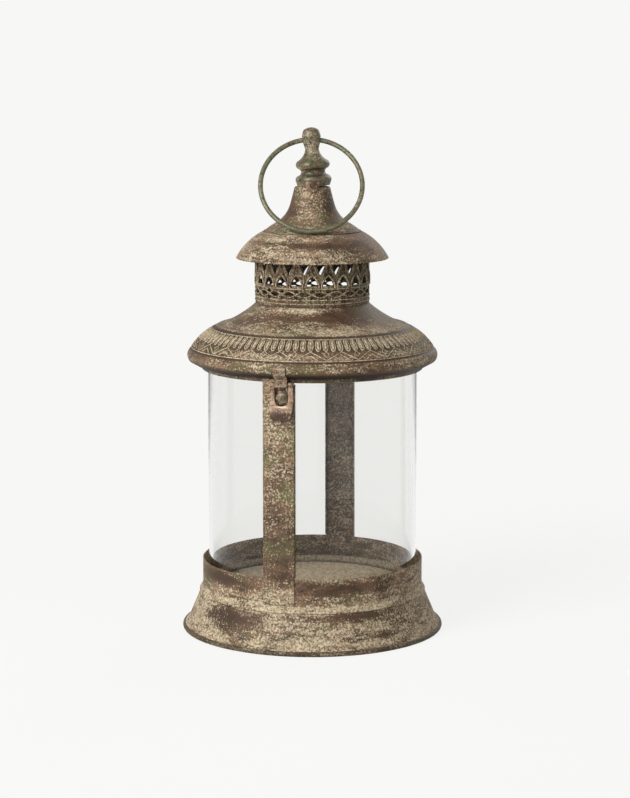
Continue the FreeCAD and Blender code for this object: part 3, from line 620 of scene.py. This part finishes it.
def worn_steel(name, wear_share=0.5, pale=0.3, spots=(), shift=0.0):
    """Stamped steel under the same sponged paint, rubbed by fingers: pinkish copper-brown
    with a soft gloss on its edges, and umber and chalk left in its hollows, with painted shade
    there too. A spot over 0 darkens it to umber, and one under 0 is a painted highlight in cream."""
    wear = finish()
    material, tree, shader, place = bare(name, metallic=0.12, gloss=0.3)
    cloud = patches(tree, place, 4.5, 0.36, 0.62, shift=shift)
    low, high = 0.62 - wear_share * 0.3, 0.8 - wear_share * 0.3
    bright = patches(tree, place, 3.5, low, high, most=0.9, shift=shift + 5)
    spot_darkening = wear_and_light_spots(tree, place, spots)
    fewer = add(tree, "Math", {"operation": "MULTIPLY"}, {0: spot_darkening, 1: 0.5}).outputs[0]
    chalk = stipple(tree, place, pale, fewer, shift + 8, grain=0.9)
    thin = add(tree, "Math", {"operation": "MULTIPLY"}, {0: chalk, 1: 0.5}).outputs[0]
    # Painted highlight: cream where a spot is under 0.
    painted_highlight = add(tree, "Math", {"operation": "MULTIPLY"}, {0: spot_darkening, 1: -1.0}).outputs[0]
    chalk_and_highlight = add(tree, "Math", {"operation": "MAXIMUM"}, {0: thin, 1: painted_highlight}).outputs[0]
    coat = wear.umber
    for share, colour in (
        (cloud, wear.brown),
        (bright, wear.copper),
        (spot_darkening, wear.umber),
        (chalk_and_highlight, wear.cream),
    ):
        coat = add(tree, "Mix", COLOURS, {0: share, 6: coat, 7: colour}).outputs[2]
    matt = add(tree, "Math", {"operation": "MAXIMUM"}, {0: chalk, 1: spot_darkening}).outputs[0]
    # Darker in hollows: dirt there, and painted shade.
    clean_and_lit = grime_and_shade(tree, 1.5, low=0.4, high=0.9)
    laid_on(tree, shader, coat, clean_and_lit, matt, (0.36, 0.8), cloud)
    return material


def blown_glass(name):
    """Clear drawn glass, slightly grey. Faint smears show only in its gloss, and a few seeds
    bend the light a little. Its IOR is low, for the photograph's glass hardly bends it."""
    material, tree, shader, place = bare(name)
    settings = {"Base Color": (*finish().glass, 1), "Transmission Weight": 1, "IOR": 1.27}
    for socket, value in settings.items():
        shader.inputs[socket].default_value = value
    smears = patches(tree, place, 40, 0.5, 0.75, most=0.02)
    tree.links.new(smears, shader.inputs["Roughness"])
    seeds = patches(tree, place, 2.4, 0.24, 0.2)
    bump = {"Strength": 0.2, "Distance": UNEVEN * MM, "Height": seeds}
    tree.links.new(add(tree, "Bump", None, bump).outputs[0], shader.inputs["Normal"])
    return material


# A spot that reaches this far along X and Y is a level band all round
ROUND = 1000

# Each finish and its settings. They are shares of the surface or of a colour, apart from the
# spots, explained above, and the shift, which moves the patterns, so that two finishes
# don't have their specks in the same places. A finish that isn't local is also darker where
# other pieces come near, with dirt and painted shade.
FINISHES = {
    "speckled_foot": (weathered, {
        "cover": 0.56, "rose": 0.4, "olive": 0.45, "spots": (
            ((-37, -63, 17), (26, 22, 8), 1.0),
            ((62, -36, 15), (22, 26, 14), 0.3),
            ((48, -54, 20.5), (34, 26, 3), 0.6),
            ((20, -72, 12), (40, 26, 1.2), 0.35),
            ((52, -55, 9), (30, 26, 2.2), 0.4),
            ((10, -76, 21), (24, 20, 2), 0.5),
            ((60, 30, 14), (40, 30, 7), 0.6),
            ((-40, 60, 15), (34, 26, 6), 0.8),
        ),
    }),
    # The foot's bead is dark all over: painted shade of the shadow line under it.
    "beaded_edge": (weathered, {"cover": 0.4, "rose": 0.2, "olive": 0.7, "dull": 0.5, "shift": 9}),
    "speckled_collar": (weathered, {
        "cover": 0.4, "rose": 0.5, "olive": 0.5, "shift": 20, "spots": (
            ((38, -57, 38), (34, 24, 4), 0.6),
            ((-44, -53, 39), (28, 26, 5.5), 0.95),
            ((0, 0, 25.5), (ROUND, ROUND, 2.4), -0.5),
        ),
    }),
    "dark_sheet": (
        weathered,
        {"cover": 0.28, "rose": 0.4, "olive": 0.8, "dull": 0.28, "shift": 31},
    ),
    "smoked_floor": (
        weathered,
        {"cover": 0.85, "rose": 1.0, "olive": 0.0, "shift": 35, "clump": 0.25},
    ),
    "speckled_strap": (weathered, {
        "cover": 0.36, "rose": 0.35, "olive": 0.75, "shift": 43, "clump": 0.25, "spots": (
            ((0, -69, 62), (14, 9, 24), 0.4),
            ((0, -69, 134), (14, 9, 24), -0.1),
            ((0, -69, 34), (14, 9, 8), -0.5),
        ),
    }),
    "shaded_strap": (
        weathered,
        {"cover": 0.42, "rose": 1.0, "olive": 0.0, "shift": 57, "clump": 0.3},
    ),
    "speckled_roof": (weathered, {
        "cover": 0.37, "rose": 0.35, "olive": 0.7, "shift": 64, "local": False, "spots": (
            # Painted shadow: a dark level band under the roof's rolled rim
            ((0, 0, 162.5), (ROUND, ROUND, 4.6), 2.2),
            # Painted shade: dark level lines at the foot of the pressed band, over the ovals'
            # ground and in the crease above the band
            ((0, 0, 174.4), (ROUND, ROUND, 0.7), 0.9),
            ((0, 0, 182.8), (ROUND, ROUND, 3.6), 0.9),
            ((0, 0, 187.2), (ROUND, ROUND, 0.6), 0.8),
            # Painted highlight: a pale level line on the crease's crest
            ((0, 0, 189.2), (ROUND, ROUND, 1.5), -0.4),
            ((34, -30, 198), (26, 24, 3.5), 0.6),
            ((-48, -30, 189), (24, 26, 6), 0.4),
            ((6, -38, 200.4), (26, 12, 1.5), -0.9),
            ((6, -46, 194.8), (44, 24, 2.6), 0.5),
            ((-66, -30, 178), (24, 44, 8), 0.4),
        ),
    }),
    "pressed_relief": (weathered, {
        "cover": 1.0, "rose": 0.1, "olive": 0.7, "shift": 71, "clump": 0.3, "spots": (
            ((-66, -30, 178), (24, 44, 8), 0.6),
        ),
    }),
    "pressed_gallery": (
        weathered,
        {"cover": 0.62, "rose": 0.1, "olive": 0.9, "shift": 77, "clump": 0.3},
    ),
    "patinated_gallery": (weathered, {
        "cover": 0.32, "rose": 0.1, "olive": 1.0, "dull": 0.12, "shift": 83, "clump": 0.3,
    }),
    "speckled_hood": (weathered, {
        "cover": 0.46, "rose": 0.9, "olive": 0.3, "shift": 91, "spots": (
            ((38, -18, 242), (18, 20, 8), 0.5),
            ((20, -34, 239), (26, 20, 2), 0.6),
            ((-22, -38, 240), (30, 20, 2), 0.6),
            ((-16, -37, 243), (14, 14, 6), -0.2),
        ),
    }),
    "speckled_cone": (weathered, {
        "cover": 0.42, "rose": 0.6, "olive": 0.8, "shift": 98, "clump": 0.3, "spots": (
            # Painted shade on the cone's right and left flanks, and a painted highlight low in
            # front
            ((16, -8, 263), (8, 12, 12), 0.6),
            ((-13, -10, 263), (8, 12, 11), 0.8),
            ((5, -19, 257), (12, 12, 4), -0.3),
        ),
    }),
    "patinated_brass": (patinated_brass, {"green": 0.2, "pale": 0.26}),
    "patinated_wire": (patinated_brass, {"green": 0.5, "pale": 0.14, "shift": 13.0}),
    "worn_latch": (worn_steel, {"wear_share": 0.4}),
    "worn_hasp": (worn_steel, {
        "wear_share": 0.75, "pale": 0.3, "shift": 3.0, "spots": (
            ((1.4, -74.5, 140.5), (12, 9, 6.5), 1.1),
            # Painted highlight: a bright cream crescent at the slot's lower edge, on the lip's top
            ((2.4, -72.5, 148.0), (3.6, 3, 0.8), -1.3),
        ),
    }),
    "smoked_stud": (patinated_brass, {"green": 0.0, "pale": 0.2, "shift": 21.0}),
    "worn_tab": (worn_steel, {"wear_share": 0.4, "pale": 0.14, "shift": 5.0}),
    # The tab's scored V is dark all over: painted shade of its groove.
    "scored_mark": (weathered, {"cover": 0.0, "rose": 0.0, "olive": 0.0, "dull": 0.8}),
    "blown_glass": (blown_glass, {}),
}


def material_of(name):
    """The finish of that name, made when it is first asked for."""
    if name not in bpy.data.materials:
        maker, settings = FINISHES[name]
        maker(name, **settings)
    return bpy.data.materials[name]


# Sections, as the CAD part has them. A leg of two points is an arc through the first.

SKIRT = outline(
    (78.9, 2.9), ((76.61, 6.0), (75.32, 8.61)), (69.0, 23.7), (66.95, 27.06), (66.95, 31.0)
)
HEM = outline((70.0, 23.7), (69.3, 24.9), (67.95, 27.0), (67.8, 27.6), (67.8, 35.0), (67.8, 43.7))
TRAY = outline((0.0, 27.0), (30.0, 27.0), (59.3, 27.0), (60.3, 26.0), (66.1, 26.0), (66.1, 31.0))
TOP_RING = outline((65.4, 162.6), ((66.6, 161.4), (67.8, 162.6)), (67.8, 170.0), (67.8, 180.0))
ROOF_BAND = ((73.86, 174.9), (68.45, 181.1), (60.89, 186.3))
ROOF = outline(
    (70.0, 164.0),
    (75.48, 167.0),
    ((76.5, 170.2), (74.45, 174.0)),
    (73.95, 174.35),
    (73.86, 174.9),
    ((68.45, 181.1), (61.3, 186.1)),
    (60.75, 186.0),
    (60.35, 186.45),
    ((58.1, 188.2), (55.2, 188.75)),
    (54.7, 188.85),
    ((43.53, 194.7), (34.9, 201.2)),
    (34.1, 202.4),
    (33.9, 206.5),
)
HOOD = outline((46.5, 229.0), ((40.9, 237.0), (30.4, 244.9)), (20.0, 245.2))
CONE = outline(
    (28.9, 245.65),
    ((26.9, 247.24), (23.19, 249.72)),
    ((17.0, 254.72), (13.8, 260.44)),
    ((12.2, 266.23), (10.9, 271.5)),
    (10.3, 272.1),
    (2.4, 272.1),
)
GLASS = outline(
    (61.2, 26.7),
    ((61.4, 26.2), (61.9, 26.0)),
    (63.3, 26.0),
    ((63.8, 26.2), (64.0, 26.7)),
    (64.0, 171.3),
    ((63.8, 171.8), (63.3, 172.0)),
    (61.9, 172.0),
    ((61.4, 171.8), (61.2, 171.3)),
    (61.2, 26.7),
)
FINIAL = outline(
    (0.0, 0.0),
    (9.8, 0.0),
    (10.9, 3.09),
    ((10.6, 4.98), (8.9, 6.32)),
    ((7.3, 8.28), (8.9, 10.46)),
    ((10.3, 12.78), (9.1, 15.02)),
    ((5.55, 18.22), (4.1, 21.76)),
    ((4.45, 23.38), (5.19, 25.52)),
    ((5.7, 29.38), (4.62, 33.52)),
    ((2.44, 34.69), (0.0, 35.1)),
)


def band_point(share, turn):
    """A point on the roof's pressed band: share 0 at its foot to 1 at its top."""
    steps = 20
    points = [ROOF_BAND[0]] + arc(*ROOF_BAND, count=steps)
    at = min(share * steps, steps - 0.001)
    low, high = points[int(at)], points[int(at) + 1]
    part = at - int(at)
    radius, height = (low[n] + (high[n] - low[n]) * part for n in (0, 1))
    return Vector((radius * math.cos(turn), radius * math.sin(turn), height)) * MM


def band_slope(share):
    """How far the band leans there, against level."""
    low, high = band_point(share - 0.02, 0), band_point(share + 0.02, 0)
    return math.atan2(high.z - low.z, low.x - high.x)


class LANTERN_OT_foot(bpy.types.Operator):
    """Flared skirt with its edge closed round a wire"""

    bl_idname = "lantern.foot"
    bl_label = "Foot"

    def execute(self, context):
        skirt = turned("skirt_sheet", SKIRT, SHEET)
        closed_edge = wire_section(*FOOT_EDGE, FOOT_EDGE_R, FOOT_EDGE_R)
        edge = turned("skirt_bead", [(r, max(z, 0.0)) for r, z in closed_edge])
        dress(smooth(skirt), "base", "aged_tinplate", "speckled_foot", "foot_skirt")
        dress(smooth(edge), "base", "aged_tinplate", "beaded_edge")
        return {"FINISHED"}


class LANTERN_OT_collar(bpy.types.Operator):
    """Collar with its flared hem, and the floor of the candle chamber"""

    bl_idname = "lantern.collar"
    bl_label = "Collar and floor"

    def execute(self, context):
        collar = turned("base_collar_dressed", HEM, SHEET)
        broken(collar, 0.15)
        dress(smooth(collar), "base", "aged_tinplate", "speckled_collar", "base_collar")
        tray = turned("floor_tray_dressed", TRAY, SHEET)
        dress(smooth(tray), "base", "dark_tinplate", "smoked_floor", "floor_tray")
        return {"FINISHED"}


class LANTERN_OT_glass(bpy.types.Operator):
    """Loose glass chimney with fire-polished rims"""

    bl_idname = "lantern.glass"
    bl_label = "Glass chimney"

    def execute(self, context):
        piece = smooth(turned("glass_chimney_dressed", GLASS), 50)
        dress(piece, "base", "clear_glass", "blown_glass", "glass_chimney")
        return {"FINISHED"}


class LANTERN_OT_straps(bpy.types.Operator):
    """Uprights from collar to top ring, each with two stiffening flanges"""

    bl_idname = "lantern.straps"
    bl_label = "Straps"

    def strap(self, name, facing):
        """One upright, its middle at that turn."""
        half = math.asin(STRAP_HALF_WIDE / STRAP_R)
        low, high = STRAP_ENDS
        rise = (high - low) / STRAP_STEPS
        section = [(STRAP_R, low + rise * n) for n in range(STRAP_STEPS + 1)]
        parts = [turned(name, section, SHEET, 10, facing + half, half * 2)]
        away, height = FLANGE_MIDDLE
        for side in (-FLANGE_ASIDE, FLANGE_ASIDE):
            deselect()
            place = Vector((side, -away, height)) * MM
            bpy.ops.mesh.primitive_cube_add(size=MM, location=place, scale=FLANGE_SIZE)
            bpy.ops.object.transform_apply(location=True, rotation=True, scale=True)
            parts.append(placed(bpy.context.object, Matrix.Rotation(facing - FRONT, 4, "Z")))
        return smooth(broken(joined(name, parts), 0.2))

    def execute(self, context):
        front = self.strap("front_strap_dressed", FRONT_STRAP)
        dress(front, "base", "aged_tinplate", "speckled_strap", "front_strap")
        rear = self.strap("rear_strap_dressed", BACK)
        dress(rear, "base", "aged_tinplate", "shaded_strap", "rear_strap")
        return {"FINISHED"}


class LANTERN_OT_top_ring(bpy.types.Operator):
    """Band that carries the roof, its lower edge rolled in"""

    bl_idname = "lantern.top_ring"
    bl_label = "Top ring"

    def execute(self, context):
        piece = smooth(turned("top_ring_dressed", TOP_RING, SHEET))
        dress(piece, "base", "dark_tinplate", "dark_sheet", "top_ring")
        return {"FINISHED"}


class LANTERN_OT_roof(bpy.types.Operator):
    """Roof sheet: rolled rim, pressed band, crease and swept slope"""

    bl_idname = "lantern.roof"
    bl_label = "Roof"

    def execute(self, context):
        piece = smooth(turned("roof_shell_dressed", ROOF, SHEET, 240), 50)
        dress(piece, "roof", "aged_tinplate", "speckled_roof", "roof_shell")
        return {"FINISHED"}


class LANTERN_OT_roof_relief(bpy.types.Operator):
    """Ovals and zigzag pressed into the roof's band"""

    bl_idname = "lantern.roof_relief"
    bl_label = "Roof relief"

    def ovals(self):
        """Raised rims, each with a long pip in its middle."""
        set_to = relief()
        wide = OVAL_HALF_WIDE * math.tau / set_to.ovals
        edge = []
        for n in range(OVAL_POINTS):
            t = math.tau * n / OVAL_POINTS
            share = OVAL_SHARE + OVAL_HALF_TALL * math.sin(t)
            edge.append(band_point(share, FRONT + wide * math.cos(t)))
        rim = bead("oval_rim", edge, set_to.rim, closed=True)
        deselect()
        bpy.ops.mesh.primitive_uv_sphere_add(segments=8, ring_count=6, radius=MM)
        pip = bpy.context.object
        edit(pip)
        bpy.ops.transform.resize(value=PIP)
        bpy.ops.object.mode_set(mode="OBJECT")
        middle = Matrix.Translation(band_point(OVAL_SHARE, FRONT))
        placed(pip, middle @ Matrix.Rotation(band_slope(OVAL_SHARE), 4, "X"))
        return repeated(joined("ovals", [rim, pip]), set_to.ovals)

    def zigzag(self):
        """A wide and a narrow peak inside it, with a leaf between two peaks."""
        set_to = relief()
        half = math.pi / set_to.peaks
        legs = []
        for low, high, width in ZIGZAGS:
            marks = mirrored([(n / 4 - 1, low + (high - low) * n / 4) for n in range(5)])
            points = [band_point(share, FRONT + u * half * width) for u, share in marks]
            legs.append(bead("zigzag", points, set_to.ridge))
        points = [band_point(share, FRONT + half * (1 + u)) for u, share in LEAF]
        legs.append(bead("leaf", points, set_to.ridge, closed=True))
        return repeated(joined("zigzag", legs), set_to.peaks)

    def border(self, share, radius):
        """A level line all round the band."""
        points = [band_point(share, math.radians(2 * n)) for n in range(180)]
        return bead("border", points, radius * MM, closed=True)

    def execute(self, context):
        parts = [self.ovals(), self.zigzag()] + [self.border(*line) for line in BORDERS]
        piece = smooth(joined("roof_relief", parts), 60)
        dress(piece, "roof", "aged_tinplate", "pressed_relief")
        return {"FINISHED"}


class LANTERN_OT_gallery(bpy.types.Operator):
    """Punched gallery with its pressed lines round triangles, arches and ovals"""

    bl_idname = "lantern.gallery"
    bl_label = "Gallery"

    def line(self, name, marks, begin, radius):
        """A pressed line; marks are (millimetres across, height) on the gallery's wall."""
        return bead(name, on_wall(GALLERY_LINE_R, begin, marks), radius)

    def level(self, height, radius):
        """A line all round the gallery."""
        steps = 132
        marks = [(math.tau * GALLERY_LINE_R * n / steps, height) for n in range(steps + 1)]
        return self.line("level", marks, 0, radius)

    def execute(self, context):
        set_to = relief()
        wall = softened("gallery", 0)
        dress(wall, "roof", "patinated_tinplate", "patinated_gallery", "gallery")
        step = set_to.pitch * GALLERY_R
        last = FRONT + FINIAL_TURN + set_to.pitch * SEAM_ARCHES
        midway = last - set_to.pitch / 2
        bold, thin = set_to.ridge * 1.6, set_to.ridge * 0.85
        arch = self.line("arch", mirrored(ARCH), last, bold)
        arches = repeated(arch, set_to.arches, set_to.pitch)
        between = [self.line("vee", mirrored(marks), midway, thin) for marks in VEES]
        for sign in (1, -1):
            turns = [n / 12 for n in range(13)]
            bend = [(t - 0.5, sign * WAVE_HALF * math.sin(math.pi * t)) for t in turns]
            wave = [(step * across, WAVE_UP + rise) for across, rise in bend]
            between.append(self.line("wave", wave, midway, thin))
        between = repeated(joined("between_arches", between), set_to.arches - 1, set_to.pitch)
        levels = [self.level(height, thin) for height in GALLERY_LEVELS]
        piece = smooth(joined("gallery_relief", [arches, between] + levels), 60)
        dress(piece, "roof", "patinated_tinplate", "pressed_gallery")
        return {"FINISHED"}


class LANTERN_OT_hood(bpy.types.Operator):
    """Hood with its turned-under edge, and the cone that stands on it"""

    bl_idname = "lantern.hood"
    bl_label = "Hood and cone"

    def execute(self, context):
        hood = turned("hood_dressed", HOOD, SHEET)
        dress(smooth(broken(hood, 0.2), 50), "roof", "aged_tinplate", "speckled_hood", "hood")
        cone = smooth(turned("cone_dressed", CONE, SHEET, 128), 50)
        dress(cone, "roof", "aged_tinplate", "speckled_cone", "cone")
        seam = turned("cone_solder", wire_section(*CONE_SOLDER, 8), steps=128)
        dress(smooth(seam, 60), "roof", "aged_tinplate", "speckled_cone")
        return {"FINISHED"}


class LANTERN_OT_finial(bpy.types.Operator):
    """Cast finial with the hole for the ring through its ball"""

    bl_idname = "lantern.finial"
    bl_label = "Finial"

    def execute(self, context):
        body = turned("finial_dressed", FINIAL, steps=64)
        deselect()
        bpy.ops.mesh.primitive_cylinder_add(
            vertices=24,
            radius=FINIAL_HOLE_R * MM,
            depth=FINIAL_DRILL * MM,
            location=(0, 0, FINIAL_HOLE_UP * MM),
            rotation=(0, math.pi / 2 + FINIAL_LEAN, 0),
        )
        drill = bpy.context.object
        modify(body, "BOOLEAN", operation="DIFFERENCE", object=drill, solver="EXACT")
        bpy.data.objects.remove(drill)
        piece = smooth(on_finial(body), 35)
        dress(piece, "roof", "cast_brass", "patinated_brass", "finial")
        tab = softened("finial_tab", 0.2)
        dress(tab, "roof", "cast_brass", "worn_tab", "finial_tab")
        points = on_wall(TAB_MARK_R, FRONT + FINIAL_TURN, mirrored(TAB_MARK))
        mark = smooth(bead("tab_mark", points, 0.24 * MM))
        dress(mark, "roof", "cast_brass", "scored_mark")
        return {"FINISHED"}


class LANTERN_OT_ring(bpy.types.Operator):
    """Carrying ring of drawn wire, its ends butted inside the ball"""

    bl_idname = "lantern.ring"
    bl_label = "Carrying ring"

    def execute(self, context):
        down = Vector((0, -math.sin(RING_LEAN), -math.cos(RING_LEAN)))
        middle = Vector(RING_HOLE) + down * RING_HANG
        turn = Matrix.Rotation(FINIAL_TURN, 4, "Z")
        ring = turned(
            "carry_ring_dressed",
            wire_section(RING_R, 0, RING_WIRE_R, RING_WIRE_R),
            steps=160,
            begin=math.pi / 2 - RING_SLIT,
            sweep=math.tau - RING_SLIT * 2,
        )
        edit(ring)
        bpy.ops.mesh.select_all(action="DESELECT")
        bpy.ops.mesh.select_mode(type="EDGE")
        bpy.ops.mesh.select_non_manifold()
        bpy.ops.mesh.fill_holes(sides=0)
        bpy.ops.mesh.select_mode(type="VERT")
        bpy.ops.mesh.select_all(action="SELECT")
        bpy.ops.mesh.normals_make_consistent(inside=False)
        bpy.ops.object.mode_set(mode="OBJECT")
        broken(ring, 0.25, 60)
        upright = Matrix.Rotation(math.pi / 2 - RING_LEAN, 4, "X")
        piece = smooth(placed(ring, turn @ Matrix.Translation(middle * MM) @ upright))
        dress(piece, "carry_ring", "brass_wire", "patinated_wire", "carry_ring")
        return {"FINISHED"}


class LANTERN_OT_latch(bpy.types.Operator):
    """Hasp, its hanger and the stud that it drops over"""

    bl_idname = "lantern.latch"
    bl_label = "Latch"

    def execute(self, context):
        parts = (
            ("hasp", "hasp", "worn_hasp"),
            ("hasp_hanger", "roof", "worn_latch"),
            ("latch_stud", "base", "smoked_stud"),
        )
        for node, body, surface in parts:
            dress(softened(node, 0.18), body, "latch_plate", surface, node)
        return {"FINISHED"}


class LANTERN_OT_hinge(bpy.types.Operator):
    """Roof hinge: two leaves, pin and rivets"""

    bl_idname = "lantern.hinge"
    bl_label = "Hinge"

    def execute(self, context):
        bodies = {
            "hinge_lower_leaf": "base",
            "hinge_upper_leaf": "roof",
            "hinge_pin": "base",
            "hinge_rivets": "base",
        }
        for node, body in bodies.items():
            dress(softened(node, 0.12), body, "latch_plate", "worn_latch", node)
        return {"FINISHED"}


class LANTERN_OT_inside(bpy.types.Operator):
    """Finishes of the CAD nodes that stay as they are"""

    bl_idname = "lantern.inside"
    bl_label = "Inner parts"

    def execute(self, context):
        finishes = {
            "foot_edge_wire": "dark_sheet",
            "finial_stud": "worn_latch",
            "finial_washer": "worn_latch",
            "finial_nut": "worn_latch",
        }
        for node, name in finishes.items():
            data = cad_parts[node].data
            data.materials.clear()
            data.materials.append(material_of(name))
        return {"FINISHED"}


class LANTERN_OT_stage(bpy.types.Operator):
    """Pale floor, soft lamps and the camera"""

    bl_idname = "lantern.stage"
    bl_label = "Stage"

    def seen(self, tree):
        """1 for rays that should meet the plain backdrop colour."""
        path = add(tree, "LightPath").outputs
        share = path["Is Camera Ray"]
        for ray in ("Is Glossy Ray", "Is Transmission Ray"):
            either = {0: share, 1: path[ray]}
            share = add(tree, "Math", {"operation": "MAXIMUM"}, either).outputs[0]
        return share

    def floor(self, set_to):
        """A pale floor that keeps a faint shadow and fades into the backdrop further out."""
        deselect()
        bpy.ops.mesh.primitive_grid_add(x_subdivisions=4, y_subdivisions=4, size=set_to.floor)
        floor = bpy.context.object
        floor.name = "floor"
        material = bpy.data.materials.new("pale_floor")
        material.use_nodes = True
        tree = material.node_tree
        tree.nodes.clear()
        matt = add(tree, "BsdfDiffuse", None, {"Color": set_to.backdrop})
        glow = add(tree, "Emission", None, {"Color": set_to.backdrop})
        place = add(tree, "TexCoord").outputs["Object"]
        away = add(tree, "VectorMath", {"operation": "LENGTH"}, {0: place})
        limits = {"Value": away.outputs["Value"], "From Min": 0.12, "From Max": 0.6, "To Min": 0.9}
        plain = add(tree, "MapRange", SOFT, limits).outputs[0]
        both = {0: self.seen(tree), 1: plain}
        share = add(tree, "Math", {"operation": "MULTIPLY"}, both).outputs[0]
        mixed = add(tree, "MixShader", None, {0: share, 1: matt.outputs[0], 2: glow.outputs[0]})
        add(tree, "OutputMaterial", None, {"Surface": mixed.outputs[0]})
        floor.data.materials.append(material)

    def sky(self, set_to):
        """Even light from all round, behind a plain backdrop."""
        world = bpy.data.worlds.new("studio")
        bpy.context.scene.world = world
        world.use_nodes = True
        tree = world.node_tree
        tree.nodes.clear()
        even = add(tree, "Background", None, {"Color": (1, 1, 1), "Strength": set_to.sky})
        plain = add(tree, "Background", None, {"Color": set_to.backdrop, "Strength": 1.0})
        light = {0: self.seen(tree), 1: even.outputs[0], 2: plain.outputs[0]}
        mixed = add(tree, "MixShader", None, light)
        add(tree, "OutputWorld", None, {"Surface": mixed.outputs[0]})

    def lamp(self, name, place, size, power):
        """A square soft lamp that looks at the lantern."""
        deselect()
        bpy.ops.object.light_add(type="AREA", location=place)
        lamp = bpy.context.object
        lamp.name = name
        lamp.data.energy = power
        lamp.data.size = size
        aim = Vector(LAMP_AIM) - Vector(place)
        lamp.rotation_euler = aim.to_track_quat("-Z", "Y").to_euler()

    def camera(self):
        """The photograph's view."""
        deselect()
        turn = Matrix.Rotation(FINIAL_TURN, 4, "Z")
        place = turn @ Vector((CAMERA_ASIDE, -CAMERA_AWAY, CAMERA_HEIGHT))
        looking = (math.pi / 2 - CAMERA_DOWN, 0, FINIAL_TURN)
        bpy.ops.object.camera_add(location=place * MM, rotation=looking)
        camera = bpy.context.object
        camera.name = "camera"
        camera.data.sensor_width = SENSOR
        camera.data.lens = FOCAL_PIXELS * SENSOR / PICTURE_TALL
        bpy.context.scene.camera = camera

    def execute(self, context):
        set_to = bpy.context.scene.lantern_stage
        self.floor(set_to)
        self.sky(set_to)
        for name, (place, size) in LAMPS.items():
            self.lamp(name, place, size, getattr(set_to, name))
        self.camera()
        bpy.context.scene.view_settings.view_transform = "Standard"
        return {"FINISHED"}


PIECES = (
    LANTERN_OT_foot,
    LANTERN_OT_collar,
    LANTERN_OT_glass,
    LANTERN_OT_straps,
    LANTERN_OT_top_ring,
    LANTERN_OT_roof,
    LANTERN_OT_roof_relief,
    LANTERN_OT_gallery,
    LANTERN_OT_hood,
    LANTERN_OT_finial,
    LANTERN_OT_ring,
    LANTERN_OT_latch,
    LANTERN_OT_hinge,
    LANTERN_OT_inside,
    LANTERN_OT_stage,
)


class LANTERN_PT_pieces(bpy.types.Panel):
    """The lantern's pieces and settings, in the sidebar"""

    bl_idname = "LANTERN_PT_pieces"
    bl_label = "Lantern"
    bl_space_type = "VIEW_3D"
    bl_region_type = "UI"
    bl_category = "Lantern"

    def draw(self, context):
        layout = self.layout
        for piece in PIECES:
            layout.operator(piece.bl_idname)
        for name in GROUPS:
            group = getattr(context.scene, name)
            box = layout.box()
            for key in group.bl_rna.properties.keys():
                if key not in ("rna_type", "name"):
                    box.prop(group, key)


GROUPS = {
    "lantern_finish": LanternFinish,
    "lantern_relief": LanternRelief,
    "lantern_stage": LanternStage,
}


def register():
    for name, group in GROUPS.items():
        bpy.utils.register_class(group)
        setattr(bpy.types.Scene, name, bpy.props.PointerProperty(type=group))
    for piece in PIECES + (LANTERN_PT_pieces,):
        bpy.utils.register_class(piece)


def unregister():
    for piece in reversed(PIECES + (LANTERN_PT_pieces,)):
        bpy.utils.unregister_class(piece)
    for name, group in GROUPS.items():
        delattr(bpy.types.Scene, name)
        bpy.utils.unregister_class(group)


def main():
    register()
    for piece in PIECES:
        getattr(bpy.ops.lantern, piece.bl_idname.split(".")[1])()
    deselect()


if __name__ == "__main__":
    main()
